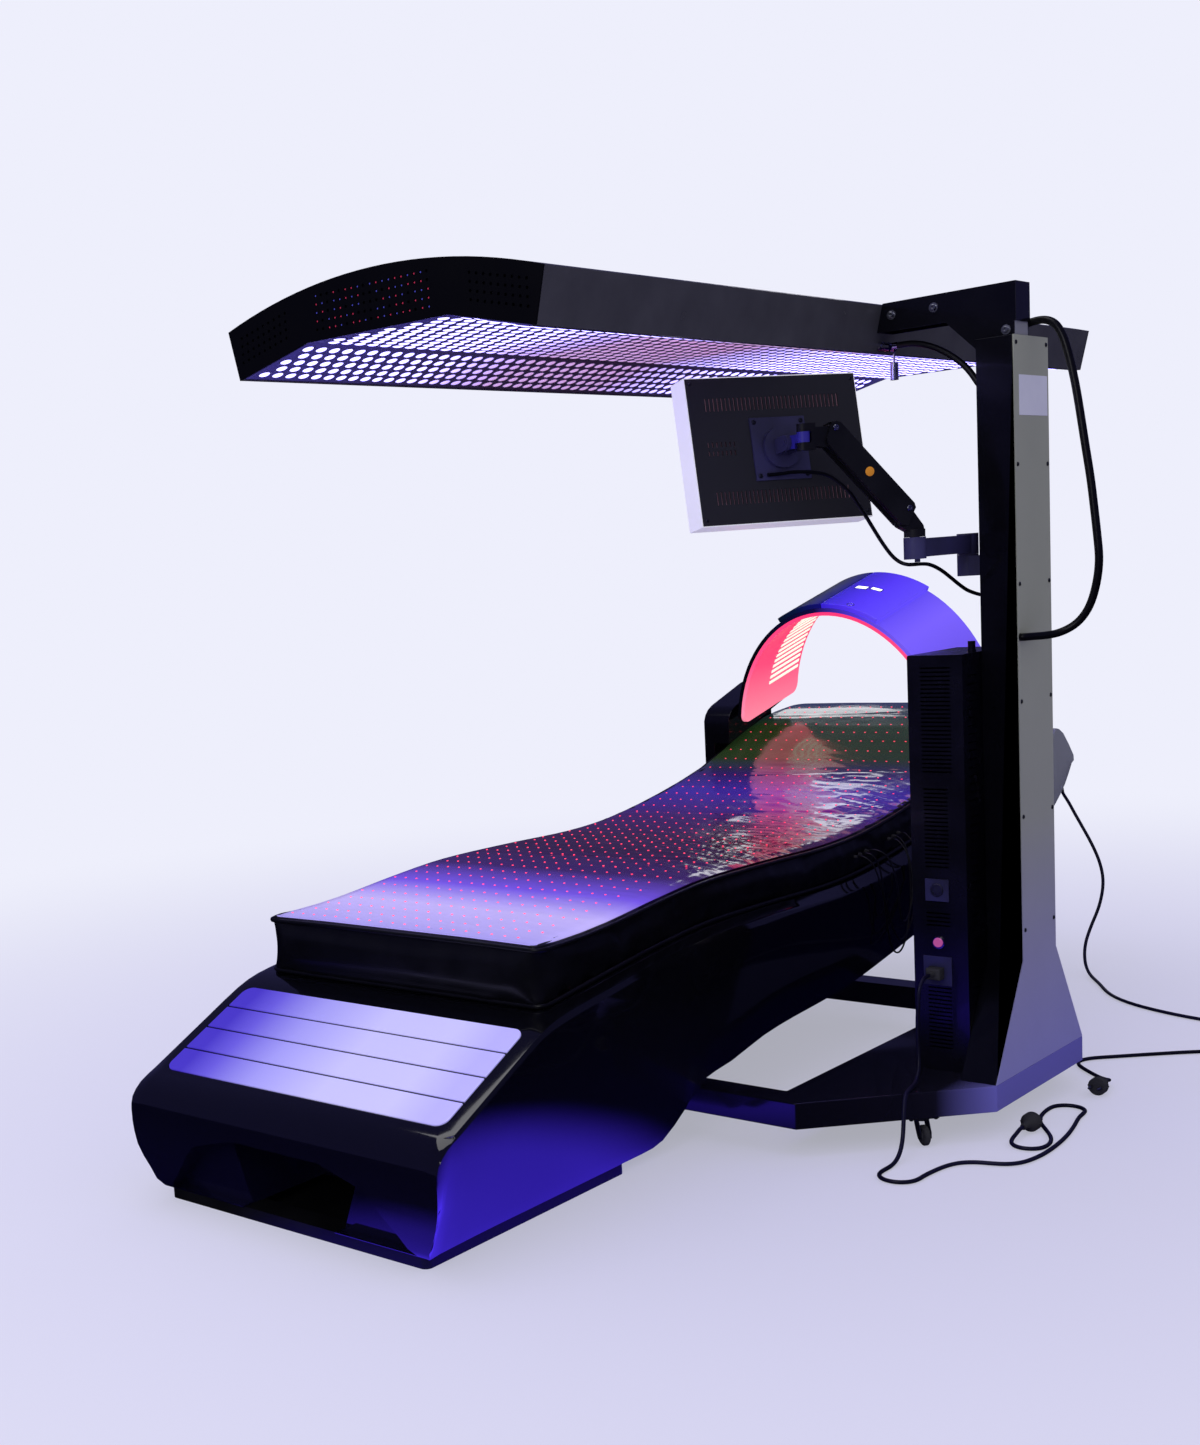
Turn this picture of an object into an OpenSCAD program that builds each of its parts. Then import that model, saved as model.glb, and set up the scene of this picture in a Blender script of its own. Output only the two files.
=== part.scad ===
// Light therapy bed with a rolling canopy stand.
// Millimetres. +Z up, +Y from the foot of the bed to its head, +X towards the stand.
// The origin is on the floor, on the bed's centre line, below the foot edge of the mattress.

/* [Bed] */
// Half width of the bed body at its rim
rim_hw = 390; // [370:5:420]
// Half width of the bed body where it meets its plinth
foot_hw = 331; // [310:1:345]
// Height of the plinth under the foot
plinth_h = 22; // [14:1:26]
// Half width of the aluminium strips on the foot slope
strip_hw = 353; // [300:1:356]
// Number of aluminium strips
strip_count = 4; // [3:1:6]
// Gap between two aluminium strips
strip_gap = 5; // [3:0.5:8]
// Thickness of an aluminium strip
strip_t = 3; // [2:0.5:5]
// Half width of the opening in the foot at its widest
mouth_hw = 160; // [130:5:180]
// Depth of the opening in the foot
mouth_depth = 240; // [120:10:300]
// Radius of a rear leg tube
leg_r = 25; // [20:1:28]
// Distance of a rear leg from the centre line
leg_x = 290; // [240:5:300]

/* [Mattress] */
// Half width of the mattress
mat_hw = 350; // [335:1:356]
// Thickness of the mattress
mat_t = 90; // [80:1:100]
// Rise of the mattress crown over its edges
mat_crown = 3; // [1:0.5:6]
// Thickness of the light mat on the mattress
film_t = 5; // [4:0.5:7]

/* [Face dome] */
// Inner half width of the dome
dome_r = 281; // [270:1:283]
// Inner height of the dome over its own centre
dome_h = 366; // [340:2:380]
// Depth of the dome along its own axis
dome_l = 290; // [240:5:300]
// Lean of the dome towards the foot, in degrees
dome_lean = 13; // [10:0.5:16]
// Radius of a dome pivot pin
dome_pin_r = 10; // [8:0.5:11]

/* [Stand] */
// Outer half length of the C-shaped base
base_hl = 494; // [480:2:500]
// Width of a base leg
leg_w = 66; // [50:1:72]
// Height of the base box
base_h = 52; // [44:1:54]
// Ground clearance of the base
base_lift = 56; // [54:1:58]
// Inner face of the base spine from the bed's centre line
spine_x = 500; // [440:5:540]
// Outer face of the stand from the bed's centre line
stand_x = 821; // [815:1:830]
// Column width across the bed
col_w = 73; // [70:1:80]
// Column depth along the bed
col_d = 155; // [140:1:170]
// Height of the column top over the floor
col_top = 1508; // [1496:1:1512]
// Sheet thickness of the column
col_t = 3; // [2:0.5:4]
// Height at which the flared foot of the column ends
flare_top = 325; // [280:5:380]
// Caster wheel radius
wheel_r = 20; // [18:1:21]
// Caster wheel width
wheel_w = 17; // [14:1:20]
// Trail of a caster
trail = 14; // [10:1:18]

/* [Controller] */
// Width of the controller case
case_w = 111; // [100:1:118]
// Height of the controller case
case_h = 817; // [760:1:900]
// Depth of the controller case
case_d = 215; // [180:5:240]
// Case sheet thickness
case_t = 2; // [1.5:0.5:3]
// Pitch of the louvres
louvre_pitch = 8; // [7:0.5:10]
// Radius of the push button
button_r = 9; // [7:0.5:9.5]
// Travel of the push button
button_travel = 3; // [2:0.5:4]

/* [Canopy] */
// Centre of the canopy from the bed's centre line
can_x = 203; // [190:1:210]
// Foot end of the canopy
can_y0 = -160; // [-220:10:-100]
// Length of the canopy
can_l = 2098; // [1900:2:2200]
// Half width of the canopy at its lower edges
can_hw = 333; // [325:1:335]
// Half width of the middle light panel
can_kw = 157; // [140:1:175]
// Height of the lower edges over the floor
can_z = 1513; // [1506:1:1516]
// Rise of the middle light panel over the lower edges
can_rise = 42; // [30:1:48]
// Height of the canopy's side walls
can_side = 87; // [80:1:92]
// Outward lean of a side wall
can_lean = 21; // [16:1:26]
// Rise of the roof over the side walls
can_crown = 55; // [40:1:70]
// Sheet thickness of the canopy
can_t = 2.5; // [2:0.5:4]
// Radius of a vent hole in the end caps
vent_r = 2.6; // [1.5:0.1:3.5]
// Pitch of the vent holes
vent_pitch = 14; // [12:1:18]

/* [Light panel and arm] */
// Width of the light panel
pan_w = 365; // [340:1:380]
// Height of the light panel
pan_h = 275; // [260:1:290]
// Depth of the light panel
pan_d = 48; // [40:1:60]
// Size of the square mounting plate
vesa = 117; // [112:1:125]
// Length of the lower arm between its two swivels
arm_l = 220; // [200:5:230]
// Thickness of the lower arm
arm_h = 40; // [34:1:42]
// Length of the gas arm along the floor at rest
gas_run = 138; // [136:1:140]
// Rise of the gas arm at rest
gas_rise = 152; // [148:1:156]

/* [Hidden] */
$fn = 48;
eps = 0.01;
clr = 0.3;
pin_clr = 0.05;

// Bed profile, one line per station from the nose over the foot slope to the head end:
// top y, top z, drop of the rim, bottom y, bottom z, rim half width less rim_hw,
// bottom half width less foot_hw, share of the side above the crease, crease half width less rim_hw
st = [
  [-352, 176, 2, -352, 150, -2, 57, 0.90, -2],
  [-346, 202, 5, -350, 105, -1, 50, 0.90, -7],
  [-322, 227, 7, -340, 58, 0, 29, 0.90, -24],
  [-289, 243, 8, -326, 22, 0, 7, 0.92, -45],
  [-230, 270.8, 8, -250, 22, 0, 2, 0.92, -49],
  [-140, 313.4, 8, -150, 22, 0, 0, 0.92, -50],
  [-57, 352.6, 10, -50, 22, 0, 0, 0.92, -50],
  [0, 372, 16, 30, 22, 0, 0, 0.92, -50],
  [70, 382, 16, 110, 22, 0, 0, 0.92, -50],
  [140, 390, 16, 190, 22, 0, 0, 0.92, -50],
  [300, 408, 14, 300, 22, 0, 0, 0.93, -49],
  [400, 417, 18, 366, 32, 0, 5, 0.93, -45],
  [500, 424, 24, 430, 80, -1, 17, 0.95, -34],
  [590, 426, 30, 484, 122, -2, 21, 0.97, -28],
  [690, 425, 34, 600, 135, -3, 19, 0.75, -19],
  [800, 423, 38, 730, 157, -3, 17, 0.65, -17],
  [900, 420, 40, 850, 168, -4, 17, 0.61, -17],
  [1000, 418, 42, 960, 175, -4, 18, 0.61, -17],
  [1120, 421, 46, 1080, 186, -4, 20, 0.62, -17],
  [1244, 432, 48, 1200, 205, -4, 22, 0.66, -17],
  [1420, 458, 48, 1380, 240, -4, 26, 0.72, -17],
  [1614, 498, 45, 1580, 285, -4, 28, 0.76, -15],
  [1766, 550, 42, 1760, 330, -4, 30, 0.78, -13],
  [1925, 596, 38, 1920, 368, -4, 32, 0.78, -11],
  [2060, 612, 24, 2050, 396, -4, 36, 0.77, -9],
  [2112, 616, 10, 2108, 410, -4, 39, 0.75, -7],
  [2134, 640, 3, 2158, 440, -4, 42, 0.74, -6],
  [2182, 624, 3, 2210, 484, -4, 46, 0.74, -6],
  [2246, 560, 3, 2252, 536, -4, 48, 0.70, -5]
];
sub = 2;
mat_first = 7;
mat_last = 25;
slope_a = atan2(352.6 - 243, 289 - 57);
strip_len = sqrt(pow(352.6 - 243, 2) + pow(289 - 57, 2));
seat_hw = mat_hw + 8;
bracket_hw = seat_hw + 30;
rear_y = 2106;
rear_beam = 60;
beam_z = 386;
gland_at = [362, 2204, 492];
gland_a = 50;

// Centre of the dome's oval section and its pivots
dome_at = [1877, 649];
pivot_at = [1850, 744];
dome_cut = 80;
dome_skin = 10;
dome_glow = 9;
cover_t = 12;
lug_x = 284;

// Stand
stand_y = 980;
base_z1 = base_lift + base_h;
leg_end = -200;
corner_x = 556;
flat_hl = 206;
col_x0 = stand_x - col_w;
col_y0 = stand_y - col_d / 2 + 1;
col_y1 = col_y0 + col_d;
cover_t2 = 2;
case_x1 = col_x0 - 0.5;
case_x0 = case_x1 - case_w;
case_y0 = 822;
case_y1 = case_y0 + case_d;
case_z0 = base_z1;
case_z1 = case_z0 + case_h;
caster_at = [[708, 688, 47, -40], [708, 1272, -47, 20], [-150, 519, 0, 150], [-150, 1441, 0, -160]];
fork_gap = 0.6;
plate_t = 3;
wheel_z = wheel_r;

// Head and mast
mast_x0 = col_x0 + col_t + 1;
mast_x1 = stand_x - cover_t2 - 1.5;
mast_y0 = 919;
mast_d = 57;
mast_y1 = mast_y0 + mast_d;
arm_z0 = 1549;
arm_z1 = 1603;
arm_t = 3;
head_z0 = 1533;

// Canopy section
can_y1 = can_y0 + can_l;
can_top = can_z + can_side;
lip = 12;
roof_r = (pow(can_hw + can_lean, 2) + pow(can_crown, 2)) / (2 * can_crown);

// Monitor arm joints
p0 = [708, 942];
arm_z = 1111;
e0 = [708, 942 - arm_l];
gas_dir = 233.13;
gas_off = 22;
a_z = 1192;
k_off = gas_off + gas_run;
k_z = a_z + gas_rise;
link_dx = 4.5;
link_dz = 12.5;
pan_off = k_off + 50;
pan_at = [e0[0] + pan_off * cos(gas_dir), e0[1] + pan_off * sin(gas_dir)];
pan_yaw = -27;
pan_tilt = 10;
tilt_off = 38;
tilt_z = 1338;
tilt_at = [pan_at[0] - tilt_off * cos(pan_yaw), pan_at[1] - tilt_off * sin(pan_yaw), tilt_z];
vesa_off = 40;

// Cord routes
plug_r = 18.5;
loop_d = 15;
loop_pts = [
  [806, 979.3, 1530], [806, 981.5, 1530], [806, 983.7, 1530], [808, 988.2, 1531.4], [817, 993.5, 1534],
  [842, 993, 1535], [867, 989, 1521], [885, 986, 1482], [900, 985, 1417], [910, 984, 1357],
  [919, 983, 1297], [928, 983, 1237], [935, 982, 1177], [941, 981, 1120], [943, 981, 1084],
  [938, 981, 1043], [925, 980, 1000], [903, 977, 970], [876, 966, 954], [855, 949, 950],
  [842, 931, 950], [834, 919, 950], [829.4, 913.8, 950], [826.4, 912, 950], [823.9, 912, 950],
  [821.4, 912, 950]
];
feed_x0 = wall_x(1524) + 33.3;
feed_pts = [for (p = [[0, 1524], [0.03, 1524], [0.06, 1524], [0.14, 1523.6], [0.27, 1519.6],
  [0.43, 1508.5], [0.6, 1490], [0.744, 1468],
  [0.83, 1448.5], [0.88, 1434.5], [0.92, 1425], [0.95, 1419.6], [0.973, 1418], [0.986, 1418], [1, 1418]])
  [feed_x0 + p[0] * (mast_x0 - 0.1 - feed_x0), 948, p[1]]];
ctrl_pts = [
  [684, 785, 307], [684, 780, 307], [684, 775, 307], [684, 767.5, 305.8], [684, 758.8, 301.2],
  [683.6, 751, 293], [683, 745.6, 281.5], [682.4, 743, 267.5], [681.5, 741.8, 250],
  [680.4, 741.3, 232], [680, 741, 212], [680.2, 740.6, 188], [681.5, 739.5, 166], [684.2, 733.8, 142],
  [687.5, 722.5, 125.5], [691.5, 706.5, 116.4], [696, 688, 113.7], [700, 667, 113.5],
  [704.3, 645, 113.5], [708.4, 629.4, 110.6], [711.6, 617, 101.2], [713.9, 609.3, 87.5],
  [716, 602, 62], [718.8, 591.5, 37], [721.8, 575, 18.2], [724.6, 553.5, 8], [726.2, 530.8, 4.4],
  [726.2, 509, 4.4], [727.6, 488, 4.4], [734.2, 470, 4.4], [746, 458.4, 4.4], [762, 454.2, 4.4],
  [778, 458.4, 4.4], [789.8, 470, 4.4], [796.5, 488, 4.4], [799.6, 512, 4.4], [802.6, 545, 4.4],
  [809, 580, 4.4], [822, 609, 4.4], [845, 627, 4.4], [872, 636, 4.4], [896, 647, 4.4], [913, 668, 4.4],
  [922, 698, 4.4], [927, 740, 4.4], [926, 800, 4.4], [920, 860, 4.4], [909, 920, 4.4], [898, 968, 4.4],
  [893, 1004, 4.4], [881, 1032, 4.4], [860, 1043.5, 4.4], [839, 1033, 4.4], [829, 1007, 4.4],
  [829, 973, 4.4], [836, 935, 4.4], [850, 903, 4.4], [872, 872, 4.4], [893, 842, 4.4], [906, 808, 4.4],
  [907, 777, 4.4], [896.5, 751, 4.4], [877, 742, 4.4], [858.5, 750, 4.6], [849.8, 768, 6.6],
  [849, 780, 9.6], [849.4, 791, 13], [849.8, 800.6, 16.2], [850, 807, 18], [850, 812.3, 18.5],
  [850, 816.1, 18.5], [850, 819.9, 18.5]
];
bed_pts = [
  [362, 2228.6, 462.7], [362, 2231.6, 459.1], [362, 2234.6, 455.5], [363.4, 2239.6, 448.6],
  [367.4, 2244.8, 438.5], [374.4, 2248, 424], [385.5, 2249.2, 402], [404, 2248, 370], [432, 2244, 322],
  [455, 2238.5, 272], [466, 2229, 222], [461, 2214, 165], [447, 2196, 115], [440, 2173, 70],
  [450, 2143, 32], [478, 2100, 9], [530, 2030, 4.4], [600, 1925, 4.4], [700, 1850, 4.4],
  [850, 1797, 4.4], [990, 1785, 4.4], [1068, 1748, 4.4], [1085, 1690, 4.4], [1062, 1628, 4.4],
  [1000, 1578, 4.4], [930, 1530, 4.4], [858, 1467, 4.4], [800, 1413, 4.4], [764, 1378, 4.4],
  [751, 1346, 4.4], [762, 1314, 4.4], [796, 1279, 4.4], [830, 1249, 5.4], [851, 1228.5, 8.6],
  [864, 1210, 13.4], [867.6, 1201.5, 16.6], [868, 1195.4, 18.2], [868, 1190.4, 18.5],
  [868, 1187.7, 18.5], [868, 1185.1, 18.5]
];
lead_sets = [
  [[355, 1130, 466], [368, 1131, 468], [390, 1134, 452], [403, 1142, 405], [406, 1165, 340],
  [404, 1200, 285], [402, 1238, 262],
   [404, 1282, 300], [403, 1316, 380], [392, 1330, 455], [370, 1334, 486], [355, 1335, 488]],
  [[355, 1152, 468], [366, 1153, 471], [384, 1156, 462], [395, 1163, 420], [397, 1172, 340],
  [396, 1196, 256], [397, 1230, 234],
   [396, 1268, 262], [397, 1294, 350], [386, 1306, 450], [366, 1311, 480], [355, 1312, 484]],
  [[355, 1182, 471], [370, 1184, 474], [396, 1190, 460], [412, 1197, 410], [414, 1204, 350],
  [411, 1220, 312], [410, 1246, 308],
   [412, 1270, 350], [405, 1283, 430], [376, 1289, 476], [355, 1290, 481]]
];
pan_cable_a = [
  [510, 549, 1283.3], [523, 570, 1284], [537, 588, 1285.5], [549, 600, 1285], [564, 614, 1283],
  [584, 632, 1276], [602, 645, 1259], [616, 656, 1241], [624, 667, 1221], [633, 679, 1198],
  [644, 693, 1168], [655, 705, 1141], [667.5, 713.5, 1119], [680, 718.5, 1107], [692, 722.2, 1102],
  [700.37, 726.23, 1101.35], [704.44, 728.77, 1101.3], [706.3, 729.94, 1101.3],
  [707.92, 730.95, 1101.3]
];
pan_cable_b = [
  [708.08, 731.05, 1101.3], [709.7, 732.06, 1101.3], [711.56, 733.23, 1101.3], [716.3, 737.6, 1101],
  [721.5, 747, 1099.6], [725.5, 765, 1094.3], [728.5, 790, 1084.5], [730, 820, 1071],
  [729.6, 855, 1056.5], [730.5, 880, 1046.5], [733, 893, 1041.5], [737.5, 902.5, 1037.6],
  [741.5, 907, 1035.4], [743.8, 908.6, 1034.4], [745.2, 909, 1034], [746.8, 909, 1034],
  [748.2, 909, 1034]
];

function cr(a, b, c, d, t) =
  0.5 * (2 * b + (c - a) * t + (2 * a - 5 * b + 4 * c - d) * t * t + (3 * b - a - 3 * c + d) * t * t * t);
function spline(p, n) = let (m = len(p) - 1) concat(
  [for (i = [0:m - 1]) for (k = [0:n - 1])
    cr(p[max(i - 1, 0)], p[i], p[i + 1], p[min(i + 2, m)], k / n)], [p[m]]);
function unit(v) = v / norm(v);
function flip(r) = [for (i = [len(r) - 1:-1:0]) [-r[i][0], r[i][1], r[i][2]]];

// Closed solid through rings that mirror left and right
module loft(rings) {
  n = len(rings[0]);
  m = len(rings);
  pts = [for (r = rings) each r];
  side = [for (i = [0:m - 2]) for (j = [0:n - 1]) let (a = i * n + j, b = i * n + (j + 1) % n)
    each [[a, a + n, b + n], [a, b + n, b]]];
  h = n / 2;
  cap0 = [for (j = [0:h - 2]) each [[j, j + 1, n - 2 - j], [j, n - 2 - j, n - 1 - j]]];
  o = (m - 1) * n;
  cap1 = [for (j = [0:h - 2]) each [[o + j, o + n - 2 - j, o + j + 1], [o + j, o + n - 1 - j,
    o + n - 2 - j]]];
  polyhedron(pts, concat(side, cap0, cap1), convexity = 6);
}

// Round tube along points
module tube(route, d, n, sides) {
  p = spline(route, n);
  m = len(p);
  t = [for (i = [0:m - 1]) unit(p[min(i + 1, m - 1)] - p[max(i - 1, 0)])];
  u0 = unit(cross(t[0], abs(t[0][2]) < 0.9 ? [0, 0, 1] : [1, 0, 0]));
  us = frames(t, u0, 0, m);
  pts = [for (i = [0:m - 1]) for (k = [0:sides - 1]) let (v = cross(t[i], us[i]))
    p[i] + d / 2 * (cos(360 * k / sides) * us[i] + sin(360 * k / sides) * v)];
  side = [for (i = [0:m - 2]) for (k = [0:sides - 1]) let (a = i * sides + k, b = i * sides + (k + 1) % sides)
    each [[a, a + sides, b + sides], [a, b + sides, b]]];
  cap0 = [[for (k = [0:sides - 1]) k]];
  cap1 = [[for (k = [sides - 1:-1:0]) (m - 1) * sides + k]];
  polyhedron(pts, concat(side, cap0, cap1), convexity = 8);
}
function frames(t, u, i, m) = i == m ? [] : let (w = unit(u - (u * t[i]) * t[i]))
  concat([w], frames(t, w, i + 1, m));

// Outlines drawn in the XZ or the YZ plane
module xz(y0, y1) { translate([0, y1, 0]) rotate([90, 0, 0]) linear_extrude(y1 - y0) children(); }
module yz(x0, x1) { translate([x0, 0, 0]) rotate([90, 0, 90]) linear_extrude(x1 - x0) children(); }
module rounded(x0, y0, x1, y1, r) {
  translate([x0 + r, y0]) square([x1 - x0 - 2 * r, y1 - y0]);
  translate([x0, y0 + r]) square([x1 - x0, y1 - y0 - 2 * r]);
  for (x = [x0 + r, x1 - r]) for (y = [y0 + r, y1 - r]) translate([x, y]) circle(r);
}

// Splined bed stations
sp = [for (s = spline(st, sub)) [s[0], s[1], s[2], s[3], max(plinth_h, s[4] + plinth_h - 22), s[5], s[6],
  s[7], s[8]]];
function shell_half(s) = let (
  xr = rim_hw + s[5],
  xl = foot_hw + s[6],
  rz = s[1] - s[2],
  w5 = s[7],
  x5 = rim_hw + s[8],
  f = function(w) [xr - (xr - x5) * pow(w / w5, 1.5), s[0] + (s[3] - s[0]) * w, rz + (s[4] - rz) * w])
  [[seat_hw, s[0], s[1]], [seat_hw + 0.8 * (xr - seat_hw), s[0], s[1] - 0.35 * s[2]], [xr, s[0], rz],
   f(0.3 * w5), f(0.65 * w5), f(w5), [xl, s[3], s[4]]];
function shell_ring(s) = concat(shell_half(s), flip(shell_half(s)));

module on_slope() { translate([0, -289, 243]) rotate([slope_a, 0, 0]) children(); }
module strip_outline() {
  w = (strip_len - (strip_count - 1) * strip_gap) / strip_count;
  intersection() {
    rounded(-strip_hw, 0, strip_hw, strip_len, 22);
    for (i = [0:strip_count - 1]) translate([-strip_hw, i * (w + strip_gap)]) square([2 * strip_hw, w]);
  }
}
module mouth_outline(g) {
  polygon([[-108, 152 + g], [108, 152 + g], [mouth_hw + g, 130], [118 + g, plinth_h],
    [-118 - g, plinth_h], [-mouth_hw - g, 130]]);
}
module apron_outline() {
  polygon([[-112, 156], [112, 156], [218, 127], [312, plinth_h + 2], [-312, plinth_h + 2], [-218, 127]]);
}
bracket_pts = [[1701, 468], [1701, 700], [1708, 716], [1722, 730], [1742, 740], [1890, 787], [1930, 795],
  [1965, 793],
  [1988, 780], [2000, 756], [2000, 560]];
block_pts = [[1701, 641], [1701, 700], [1708, 716], [1722, 730], [1742, 740], [1890, 787], [1930, 795],
  [1965, 793],
  [1988, 780], [2000, 756], [2000, 736]];

module bed_shell() {
  color("#0b0b10") difference() {
    loft([for (s = sp) shell_ring(s)]);
    on_slope() translate([0, 0, -1]) linear_extrude(30) rounded(-strip_hw - 2, -2, strip_hw + 2,
      strip_len + 2, 24);
    xz(-400, -352 + mouth_depth) mouth_outline(0);
    xz(-400, -300) intersection() {
      apron_outline();
      translate([-400, 0]) square([800, 200]);
    }
    for (s = [-1, 1]) yz(s > 0 ? seat_hw : -rim_hw - 10, s > 0 ? rim_hw + 10 : -seat_hw) polygon(bracket_pts);
    translate([-leg_x - leg_r - 8 - clr, rear_y - rear_beam / 2 - clr, 300])
      cube([2 * (leg_x + leg_r + 8 + clr), rear_beam + 2 * clr, beam_z + 40 + clr - 300]);
    gland_frame() cylinder(h = 60, r = 9 + clr);
  }
}
module foot_plinth() {
  color("#08080a") linear_extrude(plinth_h) {
    difference() {
      rounded(-foot_hw + 4, -322, foot_hw - 4, 250, 14);
      rounded(-foot_hw + 40, -270, foot_hw - 40, 220, 14);
    }
    translate([-foot_hw + 30, -20]) square([2 * foot_hw - 60, 40]);
  }
}
module foot_panel_strips() {
  color("#b9bccb") on_slope() translate([0, 0, -1]) linear_extrude(strip_t) strip_outline();
}

// Mattress section: piped edges, drawn-in sides and a crown
mat_sp = let (a = mat_first * sub, b = mat_last * sub) concat(
  [for (t = [0, 0.3]) sp[a] * (1 - t) + sp[a + 1] * t], [for (i = [a + 1:b - 1]) sp[i]],
  [for (t = [0.7, 1]) sp[b - 1] * (1 - t) + sp[b] * t]);
function ends_in(i, m) = i == 0 || i == m - 1 ? 14 : (i == 1 || i == m - 2 ? 3 : 0);
function mat_top(s) = s[1] + mat_t + 23 * pow(max(0, 1 - s[0] / 300), 2);
function crown(x) = mat_crown * (1 - pow(x / mat_hw, 2));
function mat_half(s, e) = let (y = s[0], b = s[1], t = mat_top(s), w = mat_hw - e)
  [[w * 0.5, y, t + crown(mat_hw * 0.5)], [w - 40, y, t + crown(mat_hw - 40)], [w - 5, y, t + 1],
  [w, y, t - 5],
   [w - 5, y, t - 13], [w - 8, y, (b + t) / 2], [w - 5, y, b + 13], [w, y, b + 5], [w - 4, y, b]];
module mattress() {
  m = len(mat_sp);
  color("#0c0c12") loft([for (i = [0:m - 1])
    let (h = mat_half(mat_sp[i], ends_in(i, m))) concat(h, flip(h))]);
}
function film_line(s, e, g) = let (y = s[0], t = mat_top(s) + clr + g, w = mat_hw - e)
  [[w - 6, y, t + 1], [w - 40, y, t + crown(mat_hw - 40)], [w * 0.5, y, t + crown(mat_hw * 0.5)]];
function back(l) = [for (i = [len(l) - 1:-1:0]) l[i]];
function film_ring(s, e) = concat(film_line(s, e, film_t), flip(film_line(s, e, film_t)),
  back(flip(film_line(s, e, 0))), back(film_line(s, e, 0)));
module led_mat() {
  m = len(mat_sp);
  color("#241a5c") loft([for (i = [0:m - 1]) film_ring(mat_sp[i], ends_in(i, m))]);
}
module rear_stand() {
  color("#101014") {
    translate([-leg_x - leg_r - 8, rear_y - rear_beam / 2, beam_z]) cube([2 * (leg_x + leg_r + 8),
      rear_beam, 40]);
    for (s = [-1, 1]) translate([s * leg_x, rear_y, 0]) {
      translate([0, 0, 14]) cylinder(h = beam_z - 14, r = leg_r);
      cylinder(h = 14, r = leg_r + 8);
    }
  }
}
module dome_brackets() {
  color("#0d0d12") for (s = [-1, 1]) difference() {
    union() {
      yz(s > 0 ? seat_hw : -bracket_hw, s > 0 ? bracket_hw : -seat_hw) polygon(bracket_pts);
      yz(s > 0 ? 312 : -seat_hw - eps, s > 0 ? seat_hw + eps : -312) polygon(block_pts);
    }
    translate([s * 300, pivot_at[0], pivot_at[1]]) rotate([0, s * 90, 0]) cylinder(h = 34,
      r = dome_pin_r + pin_clr);
  }
}
module gland_frame() { translate(gland_at) rotate([-90 - gland_a, 0, 0]) children(); }
module bed_cord_gland() {
  color("#15151a") gland_frame() {
    translate([0, 0, clr]) cylinder(h = 24, r = 9);
    translate([0, 0, 24]) cylinder(h = 14, r = 7);
  }
}
module mat_leads() {
  color("#111116") for (p = lead_sets) {
    tube(p, 4, 2, 8);
    for (e = [p[0], p[len(p) - 1]]) translate([mat_hw - 7 + clr, e[1], e[2]]) rotate([0, 90, 0])
      cylinder(h = 12, r = 5);
  }
}

// Dome
module dome_frame() { translate([0, dome_at[0], dome_at[1]]) rotate([dome_lean, 0, 0]) children(); }
function oval(g, a0, a1, n) = [for (i = [0:n]) let (a = a0 + (a1 - a0) * i / n) [(dome_r + g) * cos(a),
  (dome_h + g) * sin(a)]];
module oval_wall(g0, g1, a0, a1, n, y0, y1) { xz(y0, y1) polygon(concat(oval(g0, a0, a1, n),
  oval(g1, a1, a0, n))); }
module dome_trim(cut) {
  intersection() {
    children();
    yz(-400, 400) rounded(-dome_l / 2, cut, dome_l / 2, 600, 26);
  }
}
module dome_shell() {
  color("#17112e") difference() {
    union() {
      dome_frame() dome_trim(dome_cut) oval_wall(dome_glow, dome_glow + dome_skin, 0, 180, 48,
        -dome_l / 2, dome_l / 2);
      for (s = [-1, 1]) translate([s * lug_x, pivot_at[0], pivot_at[1]]) rotate([0, s * 90, 0])
        cylinder(h = 16, r = 19);
    }
    for (s = [-1, 1]) translate([s * (lug_x - 2), pivot_at[0], pivot_at[1]]) rotate([0, s * 90, 0])
      cylinder(h = 40, r = dome_pin_r);
  }
}
module dome_top_cover() {
  color("#141028") dome_frame()
    oval_wall(dome_glow + dome_skin + 0.2, dome_glow + dome_skin + cover_t, 90.3, 114, 9, -dome_l / 2,
      dome_l / 2);
}
module dome_control_panel() {
  color("#2a1f7a") dome_frame()
    oval_wall(dome_glow + dome_skin + 0.2, dome_glow + dome_skin + cover_t, 62, 90, 10, -dome_l / 2,
      dome_l / 2);
}
module dome_diffuser() {
  color("#ff9ab8") dome_frame() dome_trim(dome_cut - 3)
    oval_wall(0, dome_glow, 0, 180, 48, -dome_l / 2, dome_l / 2);
}
module dome_pivot_pins() {
  color("#8d9098") for (s = [-1, 1]) translate([s * (lug_x - 2), pivot_at[0], pivot_at[1]])
    rotate([0, s * 90, 0])
    cylinder(h = 48, r = dome_pin_r);
}

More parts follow.
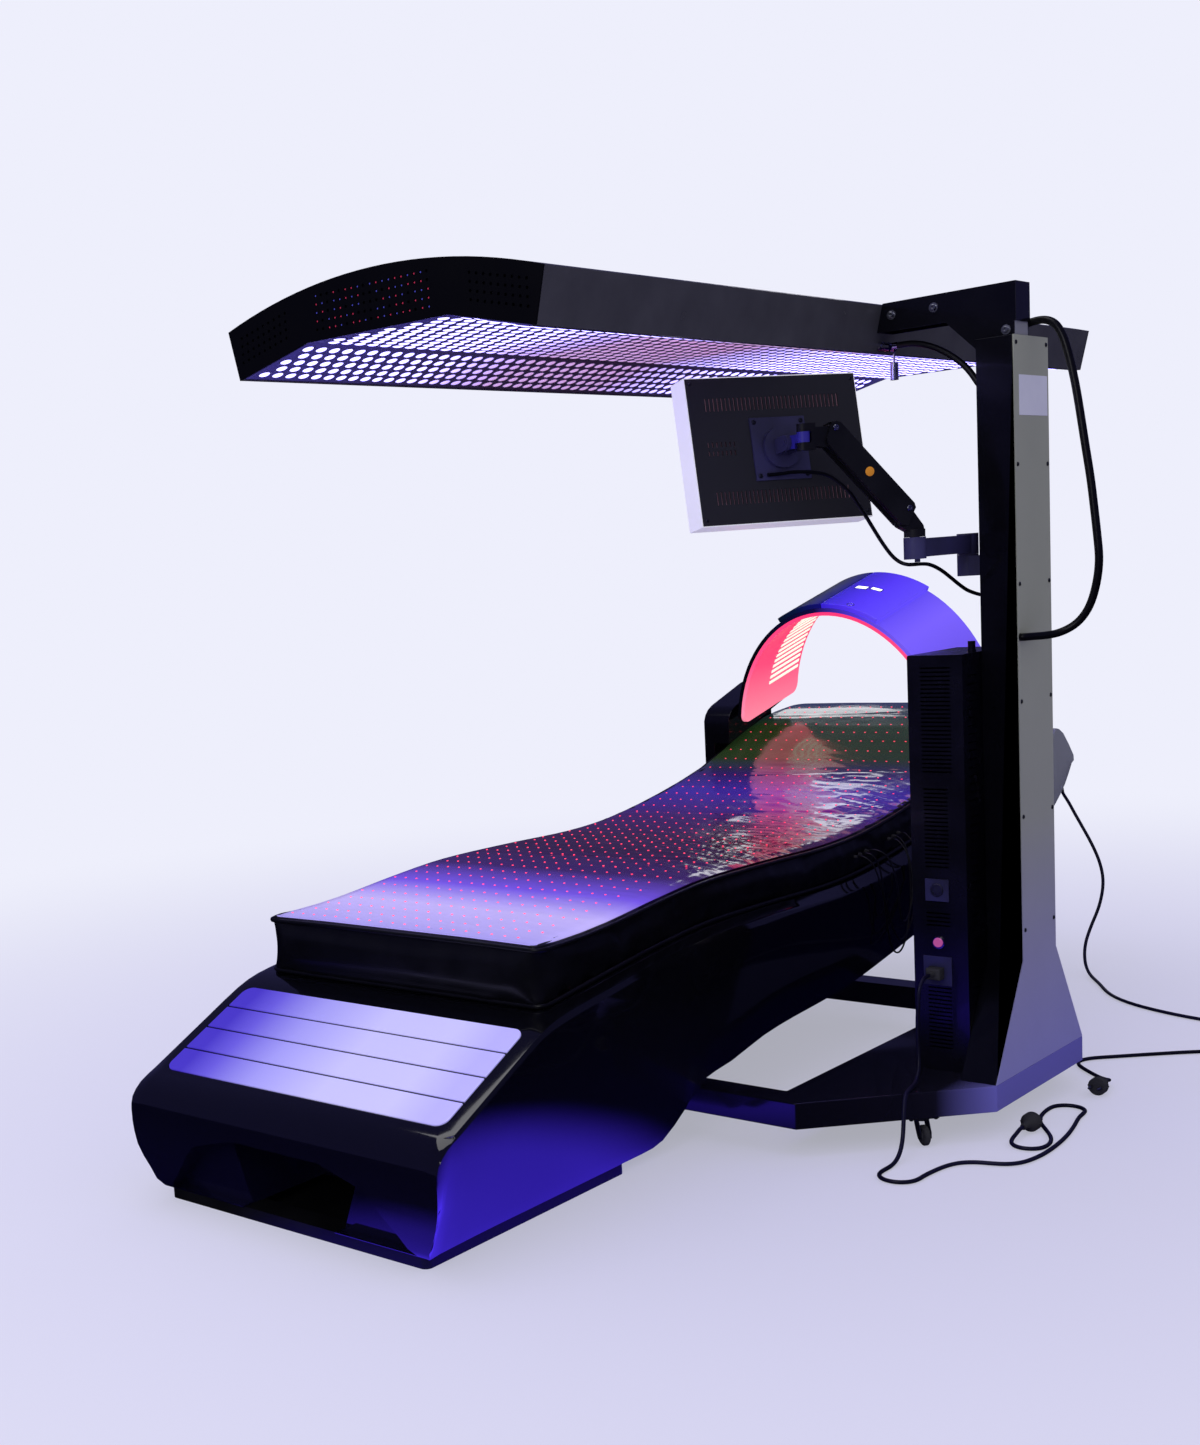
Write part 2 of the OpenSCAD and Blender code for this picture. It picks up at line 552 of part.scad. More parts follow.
// Stand
module base_outline() {
  polygon([[leg_end, stand_y - base_hl], [corner_x, stand_y - base_hl], [stand_x, stand_y - flat_hl],
    [stand_x, stand_y + flat_hl], [corner_x, stand_y + base_hl], [leg_end, stand_y + base_hl],
    [leg_end, stand_y + base_hl - leg_w], [spine_x, stand_y + base_hl - leg_w],
    [spine_x, stand_y - base_hl + leg_w], [leg_end, stand_y - base_hl + leg_w]]);
}
module base_frame() {
  color("#101018") translate([0, 0, base_lift]) linear_extrude(base_h) base_outline();
}
module caster_plates() {
  color("#9a9ca4") for (c = caster_at) translate([c[0], c[1], base_lift - plate_t]) rotate([0, 0, c[2]]) {
    translate([-29, -20, 0]) cube([58, 40, plate_t]);
    for (sx = [-1, 1]) for (sy = [-1, 1]) translate([sx * 24, sy * 15, -2.5]) cylinder(h = 2.5, r = 4,
      $fn = 6);
    translate([0, 0, -4]) cylinder(h = 4, r = 8);
  }
}
fork_top = base_lift - plate_t - clr;
module caster_fork(c) {
  color("#26262b") translate([c[0], c[1], 0]) rotate([0, 0, c[3]]) {
    difference() {
      translate([0, 0, fork_top - 4.5]) cylinder(h = 4.5, r = 16);
      translate([0, 0, fork_top - 10]) cylinder(h = 20, r = 8 + pin_clr);
    }
    for (s = [-1, 1]) difference() {
      translate([trail, s * (wheel_w / 2 + fork_gap) + (s > 0 ? 0 : -2), 0]) rotate([-90, 0, 0])
        linear_extrude(2)
        polygon([[-trail - 9, -fork_top + 4.4], [-trail + 13, -fork_top + 4.4], [9, -wheel_z - 7],
          [9, -wheel_z + 5],
          [-3, -wheel_z + 8], [-9, -wheel_z]]);
      translate([trail, 0, wheel_z]) rotate([90, 0, 0]) cylinder(h = 60, r = 3, center = true);
    }
    translate([trail, 0, wheel_z]) rotate([90, 0, 0]) cylinder(h = wheel_w + 2 * fork_gap + 7, r = 3,
      center = true);
  }
}
module caster_wheel(c) {
  color("#1b1b20") translate([c[0], c[1], 0]) rotate([0, 0, c[3]])
    translate([trail, 0, wheel_z]) rotate([90, 0, 0]) {
    rotate_extrude() polygon([[3 + pin_clr, -wheel_w / 2], [10, -wheel_w / 2], [10, -wheel_w / 2 + 2],
      [wheel_r - 4, -wheel_w / 2 + 2], [wheel_r, -wheel_w / 2 + 5], [wheel_r, wheel_w / 2 - 5],
      [wheel_r - 4, wheel_w / 2 - 2], [10, wheel_w / 2 - 2], [10, wheel_w / 2], [3 + pin_clr, wheel_w / 2]]);
  }
}
module column_outline(g) {
  polygon([[stand_y - flat_hl + 1.9 * g, base_z1 + g], [stand_y + flat_hl - 1.9 * g, base_z1 + g],
    [col_y1 - g, flare_top], [col_y1 - g, col_top], [col_y0 + g, col_top], [col_y0 + g, flare_top]]);
}
module column_body() {
  color("#121218") difference() {
    yz(col_x0, stand_x - cover_t2) column_outline(0);
    yz(col_x0 + col_t, stand_x) intersection() {
      column_outline(col_t);
      translate([0, base_z1 + 2 * col_t]) square([3000, col_top]);
    }
    yz(col_x0 + col_t, stand_x) translate([col_y0 + col_t, col_top - 40]) square([col_d - 2 * col_t, 60]);
    translate([col_x0 - 5, mast_y0 - 7, 1380]) cube([col_t + 10, mast_d + 14, 200]);
  }
}
module column_cover() {
  color("#55565c") yz(stand_x - cover_t2, stand_x) column_outline(0);
}
module cover_screws() {
  color("#2b2c31") for (i = [0:5]) for (y = [col_y0 + 10, col_y1 - 10])
    translate([stand_x, y, col_top - 14 - i * 222]) rotate([0, 90, 0]) cylinder(h = 2, r = 4, $fn = 24);
}

// Controller
louvre_z = [[case_z0 + 45, 16], [case_z0 + 290, 4], [case_z0 + 406, 20], [case_z0 + 592, 26]];
module controller_case() {
  color("#0e0e14") difference() {
    translate([case_x0, case_y0, case_z0]) cube([case_w, case_d, case_h]);
    translate([case_x0 + case_t, case_y0 + case_t, case_z0 + case_t])
      cube([case_w - 2 * case_t, case_d - 2 * case_t, case_h - 2 * case_t]);
    for (g = louvre_z) for (i = [0:g[1] - 1]) if (g[0] + i * louvre_pitch < case_z1 - 6)
      translate([case_x0 + (g[1] == 26 ? 26 : 28), case_y0 - 5, g[0] + i * louvre_pitch])
        cube([g[1] == 26 ? 60 : 48, case_t + 6, 3]);
    for (i = [0:44]) if (case_z0 + 70 + i * 16 < case_z1 - 8)
      translate([case_x1 - case_t - 1, case_y0 + 20, case_z0 + 70 + i * 16]) cube([case_t + 2, 44, 3]);
    translate([688, case_y0 - 5, 366]) rotate([-90, 0, 0]) cylinder(h = 20, r = 11);
    translate([case_x0 + 24, case_y0 - 1, 284]) cube([50, case_t + 2, 50]);
  }
  color("#0e0e14") translate([case_x1 - 11, case_y0 + 66, case_z1]) {
    cylinder(h = 6, r = 9, $fn = 6);
    translate([0, 0, 6]) cylinder(h = 16, r = 7);
  }
}
module case_sockets() {
  color("#23242c") {
    translate([664, case_y0 - 3, 448]) cube([48, 3, 44]);
    difference() {
      translate([case_x0 + 20, case_y0 - 2, 280]) cube([58, 2, 58]);
      translate([case_x0 + 32, case_y0 - 3, 293]) cube([30, 4, 24]);
    }
    difference() {
      translate([case_x0 + 24.3, case_y0, 284.3]) cube([49.4, 24, 49.4]);
      translate([case_x0 + 32, case_y0 - 1, 293]) cube([30, 20, 24]);
    }
  }
}
module button_bezel() {
  color("#c8cad2") difference() {
    union() {
      translate([688, case_y0 - 2.5, 366]) rotate([-90, 0, 0]) cylinder(h = 2.5, r = 12.5);
      translate([688, case_y0, 366]) rotate([-90, 0, 0]) cylinder(h = 22, r = 10.9);
    }
    translate([688, case_y0 - 5, 366]) rotate([-90, 0, 0]) cylinder(h = 20, r = button_r + pin_clr);
  }
}
module power_button() {
  color("#d05a5a") translate([688, case_y0 - 2.5 - button_travel, 366]) rotate([-90, 0, 0])
    cylinder(h = 12, r = button_r);
}

// Arm
module arm_wall_bracket() {
  color("#2c2c3a") {
    translate([p0[0], p0[1], arm_z - 41]) {
      cylinder(h = 40.7, r = 20);
      translate([0, 0, 40.7]) cylinder(h = arm_h - 8, r = 9);
    }
    translate([p0[0], p0[1] - 18, arm_z - 41]) cube([col_x0 - p0[0], 36, 38]);
  }
}
module lift_actuator() {
  color("#6a6c74") translate([(mast_x0 + mast_x1) / 2, col_y1 - 34, base_z1 + 6]) {
    cylinder(h = 620, r = 18);
    translate([-25, -24, 0]) cube([50, 48, 110]);
  }
}
module loop_cable() { color("#0a0a0d") tube(loop_pts, loop_d, 2, 10); }
module mast() {
  color("#33343b") {
    difference() {
      translate([mast_x0, mast_y0, 1010]) cube([mast_x1 - mast_x0, mast_d, head_z0 - 1010]);
      translate([mast_x0 + 3, mast_y0 + 3, 1000]) cube([mast_x1 - mast_x0 - 6, mast_d - 6, head_z0 - 1003]);
    }
    translate([(mast_x0 + mast_x1) / 2, col_y1 - 34, 740]) cylinder(h = 280, r = 10);
    translate([mast_x0 + 10, mast_y1 - eps, 1010]) cube([mast_x1 - mast_x0 - 20, col_y1 - 24 - mast_y1, 10]);
  }
}
// Inner face of the canopy wall that faces the column, at height z
function wall_x(z) = can_x + can_hw + can_lean * (z - can_z) / can_side;
module head_arm() {
  plate = [[wall_x(arm_z1) + clr, arm_z1], [stand_x, arm_z1 + 2], [stand_x, head_z0], [mast_x1, head_z0],
    [mast_x1, 1511],
    [mast_x0 + 1, 1482], [684, arm_z0], [wall_x(arm_z0) + clr, arm_z0]];
  color("#101015") {
    xz(mast_y0 - arm_t, mast_y0) polygon(plate);
    xz(mast_y1, mast_y1 + arm_t) polygon(plate);
    xz(mast_y0 - eps, mast_y1 + eps) polygon([[wall_x(arm_z1) + clr, arm_z1], [stand_x, arm_z1 + 2],
      [stand_x, head_z0], [stand_x - 3, head_z0], [stand_x - 3, arm_z1 - 1], [wall_x(arm_z1 - 3) + clr,
      arm_z1 - 3]]);
    xz(mast_y0 - eps, mast_y1 + eps) polygon([[wall_x(arm_z1) + clr, arm_z1], [wall_x(arm_z1) + 4, arm_z1],
      [wall_x(arm_z0) + 4, arm_z0], [wall_x(arm_z0) + clr, arm_z0]]);
  }
}
module arm_bolts() {
  color("#8a8c94") for (b = [[576, 1579], [662, 1580], [802, 1519]])
    translate([b[0], mast_y0 - arm_t, b[1]]) rotate([90, 0, 0]) {
      cylinder(h = 1.2, r = 9);
      translate([0, 0, 1.2]) cylinder(h = 4, r = 5.5);
    }
}

// Canopy
function roof(x) = can_top + can_crown - roof_r + sqrt(roof_r * roof_r - x * x);
function outer(g) = let (w = can_hw + can_lean - g) concat(
  [[-can_hw + g, can_z + 0.6 * g]],
  [for (i = [-12:12]) [i / 12 * w, roof(i / 12 * w) - g]],
  [[can_hw - g, can_z + 0.6 * g]]);
module cap_outline() {
  polygon(concat(outer(0), [[can_kw, can_z + can_rise], [-can_kw, can_z + can_rise]]));
}
module canopy_housing() {
  color("#15161c") translate([can_x, 0, 0]) xz(can_y0 + can_t, can_y1 - can_t) difference() {
    polygon(outer(0));
    polygon(concat([for (p = outer(can_t)) [p[0], p[1]]],
      [[can_hw - lip, can_z + 0.6 * can_t], [can_hw - lip, can_z - 9], [-can_hw + lip, can_z - 9],
       [-can_hw + lip, can_z + 0.6 * can_t]]));
  }
}
module vent_field(x0, n, m, z0, shear) {
  for (i = [0:n - 1]) for (j = [0:m - 1])
    translate([x0 + i * vent_pitch, z0 + j * vent_pitch + shear * i * vent_pitch]) circle(vent_r, $fn = 13);
}
module canopy_end_caps() {
  color("#0f0f14") for (y = [can_y0, can_y1 - can_t]) translate([can_x, 0, 0]) xz(y, y + can_t) difference() {
    cap_outline();
    vent_field(-132, 19, 5, can_z + can_rise + 18, 0);
    vent_field(-320, 9, 4, can_z + 30, 0.24);
    vent_field(320 - 8 * vent_pitch, 9, 4, can_z + 30 + 8 * vent_pitch * 0.24, -0.24);
  }
}
module canopy_light_panels() {
  w = can_hw - lip + 1.5;
  z0 = can_z + 0.6 * can_t + 0.5;
  color("#8c8aa0") translate([can_x, 0, 0]) xz(can_y0 + can_t + 1, can_y1 - can_t - 1)
    polygon([[-w - 6, z0], [-w + 10, z0], [-can_kw, can_z + can_rise], [can_kw, can_z + can_rise],
      [w - 10, z0], [w + 6, z0],
      [w + 6, z0 + 3], [w - 10, z0 + 3], [can_kw, can_z + can_rise + 4], [-can_kw, can_z + can_rise + 4],
      [-w + 10, z0 + 3],
      [-w - 6, z0 + 3]]);
}
module canopy_crossbeam() {
  color("#3a3b42") translate([can_x, mast_y0, can_z + can_rise + 4 + clr])
    translate([-can_hw + 8, 0, 0]) cube([2 * can_hw - 8 + 6, mast_d, 30]);
}
module canopy_connectors() {
  color("#c2c4cc") {
    for (y = [934, 956]) translate([wall_x(1526), y, 1526]) rotate([0, 90 + atan(can_lean / can_side), 0])
      translate([0, 0, clr / 2]) {
        cylinder(h = 8, r = 9);
        translate([0, 0, 8]) cylinder(h = 16, r = 7);
      }
    translate([feed_x0, 948, 1524]) rotate([0, -90, 0]) cylinder(h = 18, r = 6.5);
  }
  color("#101014") translate([wall_x(1524) + 6, 985, 0]) {
    translate([0, 0, 1462]) cylinder(h = 34, r = 8);
    translate([0, 0, 1496]) cylinder(h = 24, r = 2);
    translate([-6.1, 0, 1520]) rotate([0, 90, 0]) cylinder(h = 9.6, r = 3);
  }
}
module canopy_feed_cable() { color("#141418") tube(feed_pts, 12, 3, 10); }

// Monitor arm
module lower_arm() {
  color("#3a3b4e") difference() {
    union() {
      translate([p0[0], p0[1], arm_z]) cylinder(h = arm_h, r = 20);
      translate([e0[0], e0[1], arm_z]) cylinder(h = arm_h, r = 20);
      translate([p0[0] - 14, e0[1], arm_z + 3]) cube([28, arm_l, arm_h - 6]);
    }
    translate([p0[0], p0[1], arm_z - 1]) cylinder(h = arm_h - 5, r = 9 + pin_clr);
    translate([e0[0], e0[1], arm_z + 8]) cylinder(h = arm_h, r = 9 + pin_clr);
  }
  color("#16161b") translate([e0[0], e0[1] + 9, arm_z - 6]) cylinder(h = 9, r = 5);
}
module gas_frame() { translate([e0[0], e0[1], 0]) rotate([0, 0, gas_dir]) children(); }
gas_pitch = atan2(gas_rise, gas_run);
gas_l = sqrt(gas_run * gas_run + gas_rise * gas_rise);
module arm_elbow() {
  color("#26262f") gas_frame() {
    translate([0, 0, arm_z + 12]) cylinder(h = arm_h - 12 + 0.3, r = 9);
    translate([0, 0, arm_z + arm_h + 0.3]) cylinder(h = 14, r = 19);
    difference() {
      translate([gas_off - 22, 0, a_z]) rotate([90, 0, 0]) linear_extrude(24, center = true)
        polygon([[-14, -30], [16, -30], [33, -20], [35, -12], [32, -4], [26, 14], [17.5, 20.4], [10, 16],
          [9.5, 10], [-12, -20]]);
      translate([gas_off - link_dx, 0, a_z + link_dz]) rotate([90, 0, 0]) cylinder(h = 60,
        r = 4 + pin_clr, center = true);
      translate([gas_off + link_dx, 0, a_z - link_dz]) rotate([90, 0, 0]) cylinder(h = 60,
        r = 4 + pin_clr, center = true);
      translate([gas_off + link_dx - 9, -4.5, a_z - link_dz - 9]) cube([60, 9, 34]);
    }
  }
}
// Sloping frames of the gas arm: x runs along the arm from its elbow pivot
module upper_link() {
  gas_frame() translate([gas_off - link_dx, 0, a_z + link_dz]) rotate([0, -gas_pitch, 0]) children();
}
module lower_link() {
  gas_frame() translate([gas_off + link_dx, 0, a_z - link_dz]) rotate([0, -gas_pitch, 0]) children();
}
module gas_arm() {
  color("#1a1a21") upper_link() {
    difference() {
      rotate([90, 0, 0]) linear_extrude(38, center = true)
        polygon([[-11, 0], [-8, 9], [0, 13], [gas_l, 13], [gas_l + 8, 9], [gas_l + 11, 0],
          [gas_l - 2, -26], [gas_l - 12, -31],
          [-12, -31], [-21, -24]]);
      translate([-40, -12.5, -40]) cube([gas_l + 80, 25, 48.5]);
    }
    for (x = [0, gas_l]) translate([x, 0, 0]) rotate([90, 0, 0]) cylinder(h = 38, r = 4, center = true);
    translate([46, 0, -0.5]) rotate([0, 90, 0]) cylinder(h = gas_l - 92, r = 9.2);
  }
}
module gas_arm_rod() {
  color("#2a2a33") lower_link() {
    rotate([90, 0, 0]) linear_extrude(8, center = true) {
      translate([0, -5]) square([gas_l, 10]);
      circle(6.5);
      translate([gas_l, 0]) circle(6.5);
    }
    rotate([90, 0, 0]) cylinder(h = 23.6, r = 4, center = true);
    translate([gas_l, 0, 0]) rotate([90, 0, 0]) cylinder(h = 23.6, r = 3.6, center = true);
  }
}
module arm_knuckle() {
  color("#26262f") gas_frame() difference() {
    union() {
      translate([k_off, 0, k_z]) rotate([90, 0, 0]) linear_extrude(24, center = true)
        polygon([[-12.5, 11], [-9.5, 18], [-4.5, 20.3], [2, 18.3], [10, 16], [40, 16], [40, -16],
          [14, -21], [2, -21], [-4, -14]]);
      translate([pan_off, 0, k_z - 24]) cylinder(h = 14, r = 12);
      translate([pan_off, 0, k_z + 10]) cylinder(h = 14, r = 12);
      translate([pan_off - 18, -12, k_z + 10]) cube([18, 24, 14]);
      translate([pan_off - 18, -12, k_z - 24]) cube([18, 24, 14]);
    }
    translate([pan_off, 0, k_z - 9.9]) cylinder(h = 19.8, r = 14.5);
    translate([pan_off, 0, k_z - 30]) cylinder(h = 60, r = 6 + pin_clr);
    for (s = [-1, 1]) translate([k_off - s * link_dx, 0, k_z + s * link_dz]) rotate([90, 0, 0])
      cylinder(h = 60, r = 4 + pin_clr, center = true);
    translate([k_off + link_dx - 50, -4.5, k_z - link_dz - 40]) cube([59, 9, 49]);
  }
}
module pan_frame() { translate([pan_at[0], pan_at[1], 0]) rotate([0, 0, pan_yaw]) children(); }
module tilt_yoke() {
  color("#2f2a6a") pan_frame() {
    translate([0, 0, k_z - 9.6]) cylinder(h = 19.2, r = 12);
    translate([0, 0, k_z - 24]) cylinder(h = 48, r = 6);
    difference() {
      union() {
        translate([-tilt_off, -9, tilt_z - 12]) cube([30, 18, 24]);
        translate([-tilt_off, 9, tilt_z]) rotate([90, 0, 0]) cylinder(h = 18, r = 12);
      }
      translate([0, 0, k_z - 40]) cylinder(h = 30.5, r = 16.5);
      translate([-tilt_off, 20, tilt_z]) rotate([90, 0, 0]) cylinder(h = 40, r = 5 + pin_clr);
    }
  }
}
module panel_space() { translate(tilt_at) rotate([0, -pan_tilt, pan_yaw]) children(); }
module vesa_head() {
  color("#24242c") panel_space() {
    difference() {
      translate([-vesa_off, -vesa / 2, -vesa / 2]) cube([3, vesa, vesa]);
      for (s = [-1, 1]) for (q = [-1, 1]) translate([-vesa_off - 1, s * 50, q * 50]) rotate([0, 90, 0])
        cylinder(h = 6, r = 2.5);
    }
    translate([-vesa_off + 3, 0, 0]) rotate([0, 90, 0]) cylinder(h = 7, r = 38);
    for (s = [-1, 1]) difference() {
      union() {
        translate([-vesa_off + 9, s > 0 ? 9 + clr : -17 - clr, -14]) cube([vesa_off - 9, 8, 28]);
        translate([0, s > 0 ? 17 + clr : -9 - clr, 0]) rotate([90, 0, 0]) cylinder(h = 8, r = 14);
      }
      translate([0, 30, 0]) rotate([90, 0, 0]) cylinder(h = 60, r = 4.9);
    }
    translate([0, 19, 0]) rotate([90, 0, 0]) cylinder(h = 38, r = 5);
  }
}
pan_x = -vesa_off;
module slot_row(z, n, len, pitch, y0) {
  for (i = [0:n - 1]) translate([pan_x - 10, y0 + i * pitch, z]) cube([12, 3, len]);
}
module panel_frame() {
  color("#c9ccd6") panel_space() difference() {
    translate([pan_x - pan_d, -pan_w / 2, -pan_h / 2]) cube([pan_d - 1, pan_w, pan_h]);
    translate([pan_x - pan_d - 1, -pan_w / 2 + 2, -pan_h / 2 + 2]) cube([pan_d + 2, pan_w - 4, pan_h - 4]);
  }
}
module panel_back() {
  color("#121217") panel_space() difference() {
    translate([pan_x - 3, -pan_w / 2 + 2, -pan_h / 2 + 2]) cube([3, pan_w - 4, pan_h - 4]);
    slot_row(pan_h * 0.27, 34, 24, 8.5, -145);
    slot_row(-pan_h * 0.36, 34, 24, 8.5, -145);
    slot_row(-8, 7, 9, 9, -150);
    slot_row(8, 7, 9, 9, -150);
  }
}
module panel_lens() {
  color("#e8b7cf") panel_space() {
    translate([pan_x - pan_d + 2, -pan_w / 2 + 2, -pan_h / 2 + 2]) cube([4, pan_w - 4, pan_h - 4]);
    for (s = [-1, 1]) for (q = [-1, 1]) translate([pan_x - pan_d + 6, s * 150, q * 110]) rotate([0, 90, 0])
      cylinder(h = pan_d - 9, r = 6);
  }
}
module panel_cable_upper() { color("#121216") tube(pan_cable_a, 7, 3, 8); }
module panel_cable_lower() { color("#121216") tube(pan_cable_b, 7, 3, 8); }

// Cords
module controller_cord() { color("#16171f") tube(ctrl_pts, 8, 2, 8); }
module controller_cord_ends() {
  color("#111116") {
    translate([case_x0 + 32 + clr, case_y0 - 20, 293 + clr]) cube([30 - 2 * clr, 36, 24 - 2 * clr]);
    translate([684, case_y0 - 20, 307]) rotate([90, 0, 0]) cylinder(h = 17, r = 6.5);
    translate([850, 820, plug_r]) plug();
  }
}
module plug() {
  rotate([-90, 0, 0]) {
    cylinder(h = 22, r = 6.5);
    translate([0, 0, 22]) cylinder(h = 26, r = plug_r);
    for (s = [-1, 1]) translate([s * 9.5, 0, 48]) cylinder(h = 19, r = 2.4);
  }
}
module bed_cord() { color("#2a2566") tube(bed_pts, 8, 3, 8); }
module bed_cord_plug() { color("#111116") translate([868, 1185, plug_r]) mirror([0, 1, 0]) plug(); }

bed_shell();
foot_plinth();
foot_panel_strips();
mattress();
led_mat();
rear_stand();
dome_brackets();
bed_cord_gland();
mat_leads();
dome_shell();
dome_top_cover();
dome_control_panel();
dome_diffuser();
dome_pivot_pins();
base_frame();
caster_plates();
column_body();
column_cover();
cover_screws();
controller_case();
case_sockets();
button_bezel();
power_button();
arm_wall_bracket();
lift_actuator();
loop_cable();
caster_fork(caster_at[0]);  // caster_fork_1
caster_fork(caster_at[1]);  // caster_fork_2
caster_fork(caster_at[2]);  // caster_fork_3
caster_fork(caster_at[3]);  // caster_fork_4
caster_wheel(caster_at[0]);  // caster_wheel_1
caster_wheel(caster_at[1]);  // caster_wheel_2
caster_wheel(caster_at[2]);  // caster_wheel_3
caster_wheel(caster_at[3]);  // caster_wheel_4
mast();
head_arm();
arm_bolts();
canopy_housing();
canopy_end_caps();
canopy_light_panels();
canopy_crossbeam();
canopy_connectors();
canopy_feed_cable();
lower_arm();
arm_elbow();
gas_arm();
gas_arm_rod();
arm_knuckle();
tilt_yoke();
vesa_head();
panel_frame();
panel_back();
panel_lens();
panel_cable_upper();
panel_cable_lower();
controller_cord();
controller_cord_ends();
bed_cord();
bed_cord_plug();
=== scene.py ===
"""Looks of a light therapy bed with a rolling canopy stand.

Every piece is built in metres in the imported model's own axes: +Z up, +Y from
the foot of the bed to its head, +X towards the stand. Each sub-assembly is a
class that holds its sizes, models its meshes and dresses them.
"""

from __future__ import annotations

import logging
import math
from contextlib import contextmanager
from dataclasses import dataclass
from enum import Enum
from typing import Callable, Iterable, Iterator, Sequence

import bpy
from mathutils import Matrix, Vector, noise
from mathutils.bvhtree import BVHTree


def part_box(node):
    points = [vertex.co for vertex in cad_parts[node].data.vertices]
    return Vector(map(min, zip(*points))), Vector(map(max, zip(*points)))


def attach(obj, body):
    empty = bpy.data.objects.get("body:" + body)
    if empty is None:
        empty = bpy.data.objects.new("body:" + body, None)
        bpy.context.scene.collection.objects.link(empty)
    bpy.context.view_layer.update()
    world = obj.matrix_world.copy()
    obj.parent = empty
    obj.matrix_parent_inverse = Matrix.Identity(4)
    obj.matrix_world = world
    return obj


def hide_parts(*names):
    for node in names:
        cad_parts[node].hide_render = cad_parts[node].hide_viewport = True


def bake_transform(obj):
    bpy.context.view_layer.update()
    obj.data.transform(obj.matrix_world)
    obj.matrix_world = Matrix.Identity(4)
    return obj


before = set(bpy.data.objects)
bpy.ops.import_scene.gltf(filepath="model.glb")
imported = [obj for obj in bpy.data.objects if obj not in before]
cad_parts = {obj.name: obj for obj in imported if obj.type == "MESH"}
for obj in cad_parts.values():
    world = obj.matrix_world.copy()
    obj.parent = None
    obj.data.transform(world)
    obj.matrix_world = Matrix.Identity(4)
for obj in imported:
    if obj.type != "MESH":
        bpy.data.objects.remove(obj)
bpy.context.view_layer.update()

log = logging.getLogger("therapy_bed")
MM = 0.001
WELD = 0.02 * MM
SPIN_WELD = 0.01 * MM
FLAT_DEGREES = 0.4
# Cosine above which a face counts as looking along a direction.
ALONG = 0.9
Point = tuple[float, float, float]
Object = bpy.types.Object
Socket = bpy.types.NodeSocket
Tree = bpy.types.NodeTree
Node = bpy.types.Node


class Pick(Enum):
    """What is selected in edit mode."""

    VERTS = "VERT"
    FACES = "FACE"


# Bench tools


def deselect() -> None:
    """Leaves edit mode and deselects everything."""
    active = bpy.context.view_layer.objects.active
    if active is not None and active.mode != "OBJECT":
        bpy.ops.object.mode_set(mode="OBJECT")
    for obj in bpy.context.selected_objects:
        obj.select_set(False)


def take(*objs: Object) -> None:
    """Selects these objects alone; the first is the active one.

    Args:
        objs: The objects to work on.
    """
    deselect()
    for obj in objs:
        obj.select_set(True)
    bpy.context.view_layer.objects.active = objs[0]


@contextmanager
def editing(obj: Object, kind: Pick = Pick.FACES, everything: bool = True) -> Iterator[None]:
    """Edit mode on one object.

    Args:
        obj: The mesh to edit.
        kind: What the selection holds.
        everything: Selects the whole mesh first.
    """
    take(obj)
    bpy.ops.object.mode_set(mode="EDIT")
    bpy.ops.mesh.select_mode(type=kind.value)
    if everything:
        bpy.ops.mesh.select_all(action="SELECT")
    try:
        yield
    finally:
        bpy.ops.object.mode_set(mode="OBJECT")


def apply_all(obj: Object) -> None:
    """Applies every modifier in order."""
    take(obj)
    for modifier in list(obj.modifiers):
        bpy.ops.object.modifier_apply(modifier=modifier.name)


def modify(obj: Object, kind: str, **settings: object) -> None:
    """Adds one modifier and applies it.

    Args:
        obj: The mesh.
        kind: The modifier's type.
        settings: Its properties.
    """
    modifier = obj.modifiers.new(kind.title(), kind)
    for key, value in settings.items():
        setattr(modifier, key, value)
    apply_all(obj)


def ease(obj: Object, width: float, segments: int = 2, angle: float = 35.0) -> None:
    """Rounds the sharp edges.

    Args:
        obj: The mesh.
        width: Width of the rounding in metres.
        segments: Faces across it.
        angle: Edges sharper than this are rounded, in degrees.
    """
    modify(
        obj,
        "BEVEL",
        width=width,
        segments=segments,
        limit_method="ANGLE",
        angle_limit=math.radians(angle),
        use_clamp_overlap=True,
        miter_outer="MITER_ARC",
    )


def smooth(obj: Object, angle: float = 35.0) -> None:
    """Shades smooth up to an angle in degrees."""
    take(obj)
    bpy.ops.object.shade_smooth_by_angle(angle=math.radians(angle))


def settle(obj: Object) -> None:
    """Puts an object's place, turn and scale into its mesh."""
    take(obj)
    bpy.ops.object.transform_apply(location=True, rotation=True, scale=True)


def keep_as(name: str) -> Object:
    """Names the primitive just added and settles it.

    Args:
        name: The piece's name.

    Returns:
        The object.
    """
    obj = bpy.context.view_layer.objects.active
    obj.name = name
    obj.data.name = name
    settle(obj)
    return obj


def linked(name: str, data: bpy.types.ID) -> Object:
    """A new object in the scene.

    Args:
        name: Its name.
        data: Its mesh, curve, camera or lamp.
    """
    made = bpy.data.objects.new(name, data)
    bpy.context.scene.collection.objects.link(made)
    return made


def facing(direction: Sequence[float]) -> Matrix:
    """The turn that points Z along a direction."""
    return Vector(direction).to_track_quat("Z", "Y").to_matrix().to_4x4()


